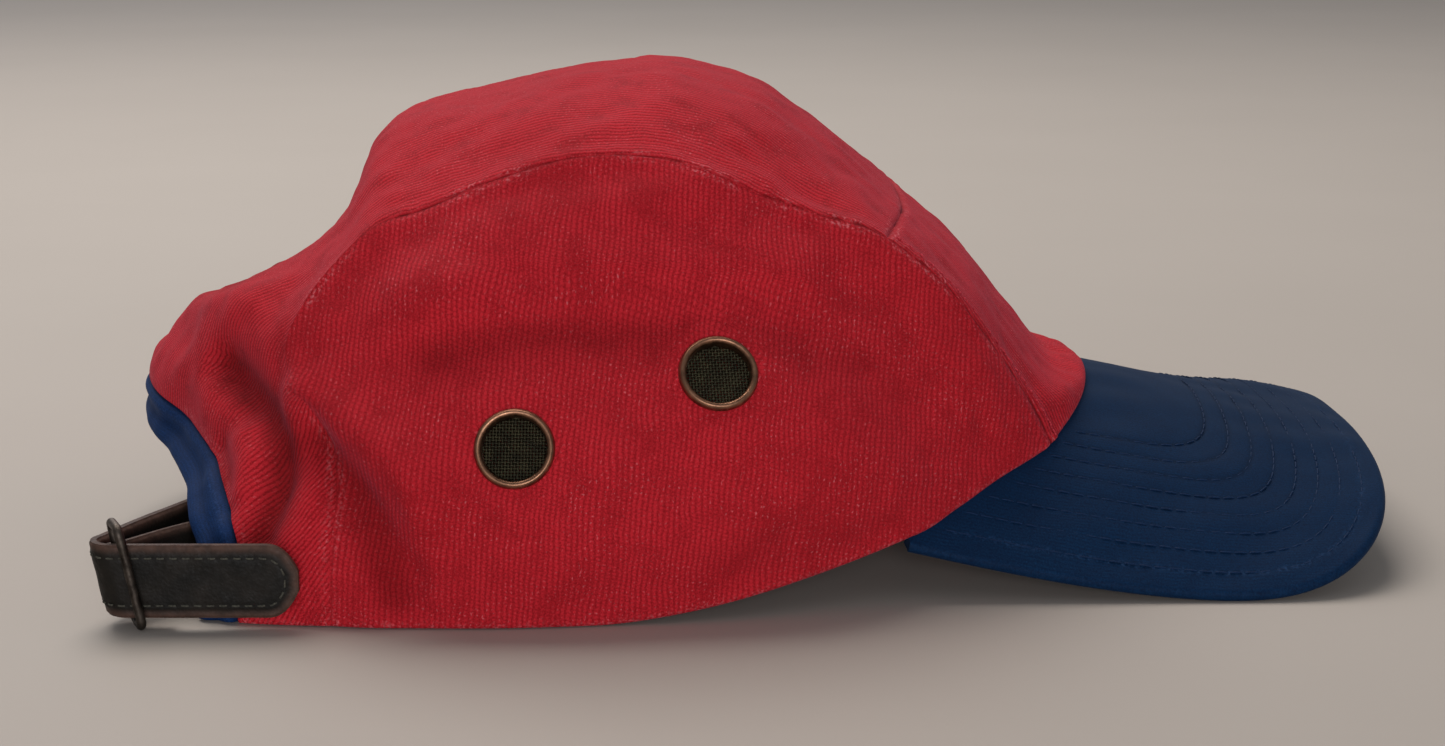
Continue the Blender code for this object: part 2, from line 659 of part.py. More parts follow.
def add_visor(material):
    """The visor: a bent board with a rounded edge."""
    half = visor_root()
    root = mirrored_line(half)
    edge = mirrored_line(visor_outline(len(half)))
    outward = plan_normal(edge)
    radius = VISOR_THICKNESS / 2
    inset = edge - outward * radius
    share = np.linspace(0, 1, VISOR_CELLS_OUT + 1)[None, :, None]
    plan = root[:, None] * (1 - share) + inset[:, None] * share
    tucked = root - plan_normal(root) * VISOR_TUCK
    plan = np.concatenate([tucked[:, None], plan], 1)
    top = visor_lift(plan)
    normal = visor_normal(plan)
    below = top - normal * VISOR_THICKNESS
    rim_centre = (top[:, -1] + below[:, -1]) / 2
    ahead = visor_lift(inset + outward * radius) - top[:, -1]
    ahead = unit(ahead - (ahead * normal[:, -1]).sum(-1, keepdims=True) * normal[:, -1])
    bulge = [rim_centre + radius * (math.cos(a) * ahead + math.sin(a) * normal[:, -1])
             for a in np.radians((50, 0, -50))]
    loops = np.concatenate([top, np.stack(bulge, 1), below[:, ::-1]], 1)
    return add_loft("visor", loops, material)


def plan_normal(line):
    """Directions in plan square to a line, to the right of its run."""
    tangent = unit(np.gradient(line, axis=0))
    return np.stack([tangent[:, 1], -tangent[:, 0]], -1)


def visor_lift(plan):
    """Put points in plan on the visor's upper surface."""
    z = visor_top(plan[..., 0], plan[..., 1])
    return np.concatenate([plan, z[..., None]], -1)


def visor_normal(plan):
    """Upward normals of the visor's upper surface."""
    step = 1e-4
    x, y = plan[..., 0], plan[..., 1]
    slope_x = (visor_top(x + step, y) - visor_top(x - step, y)) / (2 * step)
    slope_y = (visor_top(x, y + step) - visor_top(x, y - step)) / (2 * step)
    return unit(np.stack([-slope_x, -slope_y, np.ones_like(x)], -1))


def add_crown(red, blue):
    """The four red panels and the blue band round the arch."""
    frames = eyelet_frames()
    crown_back = strip_grid(FRONT_CORNER, REAR_CORNER)
    surround = surround_grid()
    corner = (surround_cells() - STRIP_CELLS) // 2
    surround[0, corner:corner + STRIP_CELLS + 1] = crown_back[-1]
    grids = {"front_panel": [strip_grid(0, FRONT_CORNER)],
             "top_panel": [crown_back, surround],
             "arch_binding": [binding_grid()]}
    for side, sign in SIDES:
        grids[f"side_panel_{side}"] = [side_grid(side, sign, frames)]
    panels = {name: weld(parts) for name, parts in grids.items()}
    normals = seam_normals(panels)
    things = {}
    for name, panel in panels.items():
        bound = name == "arch_binding"
        seated = name.startswith(("front", "side"))
        shell = cloth_shell(panel, normals[name], BINDING_THICKNESS if bound else WALL, seated)
        things[name] = add_shell(name, *shell, blue if bound else red)
    for side, _ in SIDES:
        cut_eyelet_holes(things[f"side_panel_{side}"], side, frames)
    return frames


def frame_axes(normal):
    """Two directions square to a normal and to each other."""
    first = unit(np.cross((0, 0, 1), normal))
    return first, np.cross(normal, first)


def turned_loops(profile, centre, normal, sides):
    """Loops of a profile of radii and heights turned about an axis."""
    first, second = frame_axes(normal)
    loops = []
    for k in range(sides):
        angle = 2 * math.pi * k / sides
        ray = math.cos(angle) * first + math.sin(angle) * second
        loops.append([centre + radius * ray + height * normal for radius, height in profile])
    return loops


def cut_eyelet_holes(panel, side, frames):
    """Cut a stepped hole for each eyelet, with level seats for its flange and its roll."""
    hole = EYELET_BORE / 2 + EYELET_BARREL_WALL + GAP
    seat = EYELET_DIAMETER / 2 + GAP
    reach = 3 * WALL
    for name, _, _ in EYELETS:
        centre, normal = frames[f"{name}_{side}"]
        profile = [(seat, reach), (seat, 0), (hole, 0), (hole, -WALL), (seat, -WALL),
                   (seat, -WALL - reach)]
        loops = np.array(turned_loops(profile, centre, normal, ROUND_SIDES)).swapaxes(0, 1)
        cutter = add_loft(f"cutter_{name}_{side}", loops, panel.data.materials[0])
        cutter.hide_render = True
        cutter.display_type = "WIRE"
        cutter.hide_set(True)
        cut = panel.modifiers.new(f"hole_{name}", "BOOLEAN")
        cut.operation = "DIFFERENCE"
        cut.solver = "EXACT"
        cut.object = cutter


def add_eyelets(frames, brass, mesh):
    """A turned ring with a rolled back in each hole, and a disc of wire mesh in its bore."""
    bore = EYELET_BORE / 2
    barrel = bore + EYELET_BARREL_WALL
    face = EYELET_DIAMETER / 2 - bore
    back = -WALL - GAP
    profile = [(bore + share * face, GAP + rise * EYELET_FLANGE) for share, rise in EYELET_FACE]
    profile += [(barrel, GAP), (barrel, back), (barrel + EYELET_ROLL, back),
                (barrel + EYELET_ROLL, back - EYELET_ROLL / 2),
                (barrel, back - EYELET_ROLL), (bore, back - EYELET_ROLL / 2)]
    for name, (centre, normal) in frames.items():
        loops = turned_loops(profile, centre, normal, ROUND_SIDES)
        add_loft(f"eyelet_{name}", loops, brass, closed=True)
        disc = [(bore - GAP, -WALL / 2 - MESH_THICKNESS), (bore - GAP, -WALL / 2)]
        loops = np.array(turned_loops(disc, centre, normal, ROUND_SIDES)).swapaxes(0, 1)
        add_loft(f"eyelet_mesh_{name}", loops, mesh)


def wall_walk(places, offset, sign, height):
    """Plan points inside the wall at a height, at places from the arch's edge (0) to the
    inner edge of its band (1)."""
    rows = np.arange(LAST_SECTION, REAR_CORNER, -1)
    row = np.interp(height / CROWN_HEIGHT, SECTIONS[rows, 2], rows)
    edge, inner_edge = arch_across(0.0, height), arch_across(BINDING_WIDTH, height)
    near = np.asarray(places)[:, None] + np.array([-WALL_STEP, 0, WALL_STEP])
    across = -sign * (edge + (inner_edge - edge) * near)
    wall = strip_surface(np.full(across.shape, row), across)[..., :2]
    tangent = unit(wall[:, 2] - wall[:, 0])
    inward = np.stack([tangent[:, 1], -tangent[:, 0]], -1) * -sign
    return wall[:, 1] + inward * offset


def turn_centre():
    """Plan position of the wire bar that the tab is folded round."""
    tail_y = STRAP_THICKNESS / 2 - CROWN_HALF_WIDTH
    x = RIM[-1][0] * CROWN_LENGTH - RIM_TO_ARCH - BINDING_WIDTH - LOOP_STAND_OFF
    return np.array([x, tail_y + strap_turn_radius()])


def strap_turn_radius():
    """Radius of the strap's middle round the tab's fold."""
    return WIRE_DIAMETER / 2 + 2 * GAP + TAB_THICKNESS + STRAP_THICKNESS / 2


def arc_points(centre, radius, sweep, count):
    """Points of an arc in plan that starts at its right-hand side and turns clockwise."""
    angles = -math.pi / 2 - np.linspace(0, sweep, count)
    return centre + radius * np.stack([np.cos(angles), np.sin(angles)], -1)


def leaned(points, height):
    """Lean the fold of a band back about the strap's middle height."""
    centre = turn_centre()
    near = 1 - fade(points[:, 0], centre[0] + TAB_FLAP / 2, centre[0] + 2 * TAB_FLAP)
    near *= 1 - fade(points[:, 1], centre[1] + TAB_FLAP, centre[1] + 4 * TAB_FLAP)
    shift = -TURN_LEAN * (height - STRAP_BASE - STRAP_WIDTH / 2) * near
    return points + np.stack([shift, 0 * shift], -1)


def band_loops(paths, low, high, thickness):
    """Sections of a leather band on edge, between its lower and its upper path in plan."""
    loops = []
    for path, z in zip(paths, (low, high)):
        side = plan_normal(path) * thickness / 2
        z = np.broadcast_to(z, len(path))[:, None]
        loops.append([np.hstack([path - side, z]), np.hstack([path + side, z])])
    return np.stack([loops[0][0], loops[1][0], loops[1][1], loops[0][1]], 1)


def strap_path(height):
    """Plan of the strap at a height: its tail, its turn and its run to the far wall."""
    centre = turn_centre()
    radius = strap_turn_radius()
    rounded = np.linspace(0, STRAP_END_ROUND, STRAP_END_CELLS + 1)
    straight = np.linspace(STRAP_END_ROUND, TAIL_LENGTH, STRAP_END_CELLS + 1)[1:-1]
    run_in = np.concatenate([rounded, straight])
    start = centre + (TAIL_LENGTH, -radius)
    tail = start - np.stack([run_in, 0 * run_in], -1)
    turn = arc_points(centre, radius, TURN_SWEEP, TURN_CELLS + 1)
    route = np.array(STRAP_ROUTE) * (CROWN_LENGTH, CROWN_HALF_WIDTH)
    inside = BINDING_THICKNESS + WALL_SLACK + STRAP_THICKNESS / 2
    far = wall_walk(STRAP_ALONG, inside, 1.0, height)
    knots = np.vstack([turn[-2:], route, far])
    run = smooth_rows(knots, np.linspace(1, len(knots) - 1, STRAP_RUN_CELLS + 1)[1:])
    return leaned(np.vstack([tail, turn, run]), height)


def add_strap(leather):
    """The long strap: tail, turn round the loop, and the run to the far side of the arch."""
    top = STRAP_BASE + STRAP_WIDTH
    paths = [strap_path(height) for height in (STRAP_BASE, top)]
    into = np.clip(1 - (paths[0][0, 0] - paths[0][:, 0]) / STRAP_END_ROUND, 0, 1)
    into[paths[0][:, 1] > turn_centre()[1]] = 0
    cut = STRAP_WIDTH * STRAP_END_CUT * into ** 2.6
    loops = band_loops(paths, STRAP_BASE + cut, top - cut, STRAP_THICKNESS)
    return add_loft("strap", loops, leather)


def tab_path(height):
    """Plan of the tab at a height: its flap, its fold and its run inside the wall."""
    centre = turn_centre()
    radius = WIRE_DIAMETER / 2 + GAP + TAB_THICKNESS / 2
    back = np.linspace(TAB_FLAP, 0, STRAP_END_CELLS)[:-1]
    flap = centre + np.stack([back, np.full_like(back, -radius)], -1)
    fold = arc_points(centre, radius, math.pi, TURN_CELLS)
    inside = BINDING_THICKNESS + WALL_SLACK + TAB_THICKNESS / 2
    near = wall_walk(TAB_ALONG, inside, -1.0, height)
    knots = np.vstack([fold[-2:], near])
    run = smooth_rows(knots, np.linspace(1, len(knots) - 1, TAB_RUN_CELLS + 1)[1:])
    return leaned(np.vstack([flap, fold, run]), height)


def add_tab(leather):
    """The short tab: inside the crown, out past the band and folded round the wire."""
    low = STRAP_BASE + GAP
    high = low + TAB_WIDTH
    loops = band_loops([tab_path(low), tab_path(high)], low, high, TAB_THICKNESS)
    return add_loft("strap_tab", loops, leather)


def add_loop(brass):
    """The wire loop: one bar in the tab's fold, one across the strap, leaning with the turn."""
    held = turn_centre()
    radius = WIRE_DIAMETER / 2
    span = strap_turn_radius() + STRAP_THICKNESS / 2 + LOOP_PLAY + radius
    bottom = radius
    top = STRAP_BASE + STRAP_WIDTH + LOOP_HEADROOM
    middle = STRAP_BASE + STRAP_WIDTH / 2
    bend = WIRE_DIAMETER
    corners = [((bend, bottom + bend), 180), ((span - bend, bottom + bend), 270),
               ((span - bend, top - bend), 0), ((bend, top - bend), 90)]
    path = []
    for (u, z), start in corners:
        for a in np.radians(np.linspace(start, start + 90, LOOP_BEND_CELLS + 1)):
            out, up = u + bend * math.cos(a), z + bend * math.sin(a)
            ahead = LOOP_AHEAD * out / span - TURN_LEAN * (up - middle)
            path.append((held[0] + ahead, held[1] - out, up))
    path = np.array(path)
    tangent = unit(np.roll(path, -1, axis=0) - np.roll(path, 1, axis=0))
    first, second = path[LOOP_BEND_CELLS + 1], path[2 * LOOP_BEND_CELLS + 2]
    plane = unit(np.cross(first - path[0], second - first))
    side = unit(np.cross(tangent, plane))
    loops = []
    for point, across in zip(path, side):
        loops.append([point + radius * (math.cos(a) * across + math.sin(a) * plane)
                      for a in np.linspace(0, 2 * math.pi, WIRE_SIDES + 1)[:-1]])
    return add_loft("strap_loop", loops, brass, closed=True)


def centre_on_origin():
    """Move every mesh so that the bottom centre of the cap's box is the origin."""
    things = [thing for thing in bpy.data.objects if thing.type == "MESH"]
    shown = [thing for thing in things if not thing.hide_render]
    points = np.array([corner.co for thing in shown for corner in thing.data.vertices])
    low, high = points.min(0), points.max(0)
    shift = np.array([-(low[0] + high[0]) / 2, -(low[1] + high[1]) / 2, -low[2]])
    for thing in things:
        for corner in thing.data.vertices:
            corner.co = np.array(corner.co) + shift
    return shift


def main():
    """Clear the scene and build the cap."""
    for thing in list(bpy.data.objects):
        bpy.data.objects.remove(thing, do_unlink=True)
    red = make_material("red_cloth", 0.9, 0.0)
    blue = make_material("blue_cloth", 0.85, 0.0)
    leather = make_material("leather", 0.6, 0.0)
    brass = make_material("brass", 0.4, 1.0)
    mesh = make_material("wire_mesh", 0.6, 0.6)
    frames = add_crown(red, blue)
    add_visor(blue)
    add_eyelets(frames, brass, mesh)
    add_strap(leather)
    add_tab(leather)
    add_loop(brass)
    centre_on_origin()


main()
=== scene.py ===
"""Looks of the camp cap: brushed twill crown, stitched visor, bound arch at the back, leather
strap with its wire loop, and meshed eyelets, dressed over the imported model."""

import logging
import math
from collections.abc import Iterable
from dataclasses import dataclass, replace
from enum import Enum
from typing import Any

import bpy
import numpy as np
from mathutils import Matrix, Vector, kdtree


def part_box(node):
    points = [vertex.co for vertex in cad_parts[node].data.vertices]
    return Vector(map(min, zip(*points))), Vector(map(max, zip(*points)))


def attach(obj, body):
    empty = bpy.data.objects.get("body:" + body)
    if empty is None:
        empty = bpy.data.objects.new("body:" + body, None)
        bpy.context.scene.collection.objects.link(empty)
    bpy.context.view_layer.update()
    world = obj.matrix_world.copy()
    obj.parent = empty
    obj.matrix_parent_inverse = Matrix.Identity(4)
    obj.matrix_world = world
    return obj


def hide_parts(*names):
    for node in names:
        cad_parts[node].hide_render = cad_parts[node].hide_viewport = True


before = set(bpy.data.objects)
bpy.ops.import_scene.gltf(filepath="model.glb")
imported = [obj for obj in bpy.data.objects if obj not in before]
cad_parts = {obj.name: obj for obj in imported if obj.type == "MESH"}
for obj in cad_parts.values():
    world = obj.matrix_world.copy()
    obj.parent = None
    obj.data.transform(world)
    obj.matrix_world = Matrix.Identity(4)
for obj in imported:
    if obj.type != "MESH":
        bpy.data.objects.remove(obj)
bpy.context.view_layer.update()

LOG = logging.getLogger("camp_cap")
Array = np.ndarray
Span = tuple[float, ...]
TOUCH = 0.000001
MM = 0.001

# Edges sharper than this many degrees stay crisp
CRISP_FROM = 60.0

# Step to a place beside a point of the strip, as a share of half its width
BESIDE = 0.02

# How many times finer a strap's turn is laid than the arc that its run leads on from
FINER = 4

# The crown's tables are in thousandths. Places along, out and up are shares of its length, its
# half width and its height
THOUSAND = 1000

# Sections from the visor to the back of the rim, each from the side seam to the centre line
SECTION_COLUMNS = ("seam_along", "seam_out", "seam_up", "mid_along", "mid_up",
                   "hug_along", "hug_out", "hug_up", "reach", "ridge")
SECTIONS = np.array([
    (943, 473, 250, 1000, 317, 500, 250, 600, 500, 0),
    (929, 484, 304, 992, 343, 500, 270, 600, 500, 0),
    (907, 503, 381, 955, 367, 600, 300, 600, 500, 0),
    (875, 529, 476, 913, 470, 600, 300, 600, 500, 4),
    (830, 558, 595, 860, 596, 600, 300, 600, 500, 6),
    (771, 581, 695, 800, 698, 550, 300, 600, 500, 10),
    (699, 609, 751, 724, 834, 450, 280, 450, 550, 6),
    (630, 626, 800, 648, 945, 350, 260, 550, 580, 0),
    (552, 626, 857, 561, 990, 330, 280, 620, 580, 0),
    (473, 626, 862, 473, 980, 330, 280, 620, 580, 0),
    (394, 637, 819, 385, 943, 330, 280, 620, 550, 0),
    (326, 646, 762, 303, 908, 330, 300, 550, 500, 0),
    (280, 648, 732, 252, 846, 330, 300, 450, 450, 12),
    (245, 663, 671, 220, 672, 330, 300, 400, 450, 30),
    (211, 690, 585, 160, 568, 330, 250, 400, 480, 46),
    (193, 698, 497, 70, 494, 350, 200, 350, 500, 62),
    (211, 726, 416, 28, 412, 450, 100, 350, 280, 36),
    (235, 790, 366, -1, 356, 550, 60, 400, 220, 6),
    (242, 910, 247, -7, 250, 580, 30, 500, 200, 0),
    (244, 970, 125, -4, 125, 780, 20, 500, 460, 0),
    (246, 980, 0, -8, 0, 930, 20, 500, 720, 0),
]) / THOUSAND
FRONT_CORNER = 5
REAR_CORNER = 15
LAST_SECTION = len(SECTIONS) - 1

# Rim of a side panel in plan
RIM = np.array([
    (943, 473), (923, 525), (884, 606), (842, 694), (791, 782),
    (684, 877), (591, 939), (459, 986), (357, 1000), (290, 998),
    (246, 980),
]) / THOUSAND
VISOR_CORNER = 4

# Swell of a side panel out from its seams: the station, then the swell at each fifth of the
# panel's height
SWELL = np.array([
    (0, 0, 0, 0, 0),
    (120, 30, 50, 45, 30),
    (270, 40, 66, 75, 52),
    (420, 106, 152, 112, 78),
    (630, 74, 136, 140, 122),
    (850, 30, 65, 75, 60),
    (1000, 0, 0, 0, 0),
]) / THOUSAND

# Folds of the crown: both ends, then half width and rise as shares of its height
FOLDS = np.array([
    (200, -780, 420, 330, -950, 270, 75, 30),
    (225, -900, 340, 320, -990, 120, 85, -40),
    (110, -620, 440, 165, -800, 260, 75, -22),
    (85, -600, 240, 55, -420, 280, 120, -40),
    (340, -760, 750, 600, -690, 810, 60, 34),
    (420, -780, 660, 740, -700, 620, 60, -22),
    (300, 950, 300, 200, 850, 450, 80, 26),
    (330, 980, 160, 220, 930, 260, 90, -40),
    (420, 780, 660, 700, 720, 600, 80, -32),
    (80, 450, 480, 245, 500, 720, 170, -105),
]) / THOUSAND

# Finer folds that lie over those: half width and rise, then the places that each runs through
CREASES = (
    (40, -36, ((112, -500, 425), (135, -578, 403), (158, -664, 378), (180, -757, 339),
               (188, -800, 295), (190, -846, 252), (184, -882, 211), (176, -910, 174))),
    (34, 18, ((150, -694, 311), (156, -745, 275), (153, -799, 228))),
    (30, -14, ((118, -630, 280), (130, -725, 246), (141, -813, 205))),
    (42, 19, ((207, -742, 428), (255, -859, 386), (289, -934, 359), (316, -984, 317),
              (331, -1007, 249), (339, -980, 163), (346, -980, 74))),
    (45, -18, ((228, -820, 335), (251, -865, 282), (272, -920, 237), (291, -959, 157),
               (309, -974, 73))),
    (55, 10, ((86, -353, 507), (91, -422, 439), (96, -490, 390))),
    (60, 20, ((420, -760, 680), (740, -690, 640))),
    (75, 28, ((334, -780, 620), (400, -785, 645), (495, -770, 655), (588, -750, 645),
              (675, -695, 610))),
    (55, -15, ((338, -850, 515), (402, -850, 540), (495, -830, 555), (589, -800, 550),
               (675, -740, 540))),
    (40, 6, ((744, -599, 701), (802, -603, 572), (858, -593, 427), (889, -575, 322))),
    (60, 6, ((386, -1006, 139), (462, -1004, 150), (553, -983, 163), (645, -945, 202))),
    (30, 5, ((430, -860, 360), (560, -840, 300))),
    (35, -6, ((560, -880, 500), (760, -740, 480))),
    (50, 6, ((360, -400, 930), (520, -100, 990))),
    (85, -24, ((98, 170, 525), (118, 190, 545), (135, 200, 555))),
    (80, -14, ((112, -300, 560), (118, -100, 545), (118, 60, 540))),
    (50, 13, ((38, -100, 440), (50, -60, 465), (62, -140, 490))),
    (36, -18, ((118, 518, 430), (172, 697, 390), (201, 812, 302), (195, 888, 223))),
    (40, 14, ((230, 780, 400), (289, 934, 330), (331, 1000, 200))),
    (85, 24, ((350, 760, 670), (500, 730, 700), (660, 690, 650))),
    (50, -12, ((360, 830, 570), (500, 800, 596), (650, 730, 590))),
    (40, -7, ((420, 880, 400), (640, 840, 360))),
)
CREASE_STEPS = 60

# Eyelets on a side panel: name, along and up. The face of a ring from its bore to its edge,
# as shares of its width and of its flange.
EYELETS = (("front", 0.606, 0.472), ("rear", 0.419, 0.352))
EYELET_FACE = np.array([(0.0, 0.0), (0.06, 0.55), (0.25, 0.9), (0.45, 1.0), (0.65, 0.97),
                        (0.85, 0.70), (0.96, 0.35), (1.0, 0.0)])

# Where the strap and its tab follow the wall, and the strap's free run, along and out
STRAP_ALONG = (0.9, 0.4, -0.2, -0.8)
TAB_ALONG = (1.4, 0.85, 0.3, -0.3, -0.8)
STRAP_ROUTE = ((0.083, -0.640), (0.125, -0.400), (0.150, -0.120), (0.160, 0.170),
               (0.160, 0.440), (0.152, 0.620))


class Side(Enum):
    """The two sides of the cap, with the sign of their across direction."""

    RIGHT = -1.0
    LEFT = 1.0

    @property
    def word(self) -> str:
        """The side's name in the names of its pieces."""
        return self.name.lower()


class Slot(Enum):
    """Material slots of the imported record."""

    RED_CLOTH = "red_cloth"
    BLUE_CLOTH = "blue_cloth"
    LEATHER = "leather"
    BRASS = "brass"
    WIRE_MESH = "wire_mesh"


def through_knots(knots: Iterable[Array], u: Array) -> Array:
    """Value between the middle two of four even knots, on a smooth curve through all."""
    a, b, c, d = knots
    return 0.5 * (2 * b + (c - a) * u + (2 * a - 5 * b + 4 * c - d) * u ** 2
                  + (3 * b - a - 3 * c + d) * u ** 3)


def smooth_rows(rows: Any, place: Any) -> Array:
    """Read a table at fractional row numbers on a smooth curve through its rows.

    Args:
        rows: the table, one row for each knot.
        place: fractional row numbers of any shape.

    Returns:
        The values at those places, with the table's columns last.
    """
    rows = np.asarray(rows, float)
    padded = np.vstack([2 * rows[0] - rows[1], rows, 2 * rows[-1] - rows[-2]])
    place = np.clip(np.asarray(place, float), 0, len(rows) - 1)
    first = np.minimum(place.astype(int), len(rows) - 2)
    return through_knots((padded[first + step] for step in range(4)),
                         (place - first)[..., None])


def smooth_across(profile: Array, place: Array) -> Array:
    """Read the last axis of a profile at fractional places on a smooth curve.

    Args:
        profile: values whose last axis is read.
        place: fractional places along that axis.

    Returns:
        The values read there.
    """
    last = profile.shape[-1] - 1
    first = np.minimum(place.astype(int), last - 1)
    steps = (np.clip(first + step, 0, last)[..., None] for step in range(-1, 3))
    knots = (np.take_along_axis(profile, step, -1)[..., 0] for step in steps)
    return through_knots(knots, place - first)


def fade(value: Any, low: float, high: float) -> Array:
    """Rise smoothly from 0 at low to 1 at high."""
    u = np.clip((value - low) / (high - low), 0, 1)
    return u * u * (3 - 2 * u)


def hump(value: Any, middle: float, width: float) -> Array:
    """A smooth hump of height 1 at the middle."""
    return np.exp(-((value - middle) / width) ** 2)


def blend(share: Any, first: Any, second: Any) -> Array:
    """Mix two values: the first at share 0 and the second at share 1."""
    return first * (1 - share) + second * share


def unit(vectors: Array) -> Array:
    """Scale vectors to length one."""
    length = np.linalg.norm(vectors, axis=-1, keepdims=True)
    return vectors / np.maximum(length, 1e-12)


def clustered(count: int, strength: float = 0.6) -> Array:
    """Places from 0 to 1 that lie closer together near both ends."""
    even = np.linspace(0, 1, count + 1)
    return even - strength * np.sin(2 * math.pi * even) / (2 * math.pi)


@dataclass(frozen=True)
class Waves:
    """Smooth random waves in space: their height, their size in metres and their seed. They
    mostly lie within twice their height."""

    height: float
    size: float
    seed: int
    count: int = 14
    spread: float = 2.6

    def at(self, points: Array) -> Array:
        """Height of the waves at points."""
        draw = np.random.default_rng(self.seed)
        turns = unit(draw.normal(size=(self.count, 3))) * draw.uniform(0.7, 1.5,
                                                                      (self.count, 1))
        phases = draw.uniform(0, 2 * math.pi, self.count)
        total = np.sin(points @ (turns * 2 * math.pi / self.size).T + phases).sum(-1)
        return self.height * (total / self.spread)


@dataclass(frozen=True)
class Rise:
    """A smooth rise over a distance: its height, its middle and its width."""

    height: float
    middle: float
    width: float

    def at(self, value: Array) -> Array:
        """Height of the rise at distances."""
        return self.height * hump(value, self.middle, self.width)


def point_tree(points: Array) -> kdtree.KDTree:
    """A search tree of points, by their numbers."""
    tree = kdtree.KDTree(len(points))
    for i, point in enumerate(points):
        tree.insert(point, i)
    tree.balance()
    return tree


def nearest(points: Array, targets: Array) -> tuple[Array, Array]:
    """Find the nearest of some targets to each point.

    Args:
        points: places to start from.
        targets: places to measure to.

    Returns:
        The distances and the numbers of the targets.
    """
    tree = point_tree(targets)
    found = [tree.find(point) for point in points]
    return np.array([hit[2] for hit in found]), np.array([hit[1] for hit in found])


def run_length(line: Array) -> Array:
    """Distance along a polyline at each of its points."""
    return np.concatenate([[0], np.cumsum(np.linalg.norm(np.diff(line, axis=0), axis=-1))])


def along_line(line: Array, places: Array) -> Array:
    """Points of a polyline at distances along it."""
    length = run_length(line)
    return np.stack([np.interp(places, length, column) for column in line.T], -1)


def even_points(line: Array, count: int) -> Array:
    """Points evenly spaced along a polyline."""
    return along_line(line, np.linspace(0, run_length(line)[-1], count))


def on_floor(plan: Array) -> Array:
    """Points in plan, placed in space at height 0."""
    return np.concatenate([plan, np.zeros(plan.shape[:-1] + (1,))], -1)


def plan_normal(line: Array) -> Array:
    """Directions in plan square to a line, to the right of its run."""
    tangent = unit(np.gradient(line, axis=0))
    return np.stack([tangent[:, 1], -tangent[:, 0]], -1)


def mirrored_line(half: Array) -> Array:
    """Complete a right half in plan with its mirror image."""
    return np.vstack([half, half[-2::-1] * (1, -1)])


def grid_faces(index: Array, turned: bool = False) -> Array:
    """Four-cornered faces over a grid of point numbers, seen from behind if turned."""
    corners = [index[:-1, :-1], index[1:, :-1], index[1:, 1:], index[:-1, 1:]]
    if turned:
        corners[1:] = corners[:0:-1]
    return np.stack(corners, -1).reshape(-1, 4)


def border_edges(faces: Array, count: int) -> Array:
    """Edges along the border of a panel, in the order that its own faces run.

    Args:
        faces: four-cornered faces.
        count: number of points.

    Returns:
        Pairs of point numbers.
    """
    start = faces.ravel()
    stop = np.roll(faces, -1, axis=1).ravel()
    free = ~np.isin(start * count + stop, stop * count + start)
    return np.stack([start[free], stop[free]], -1)


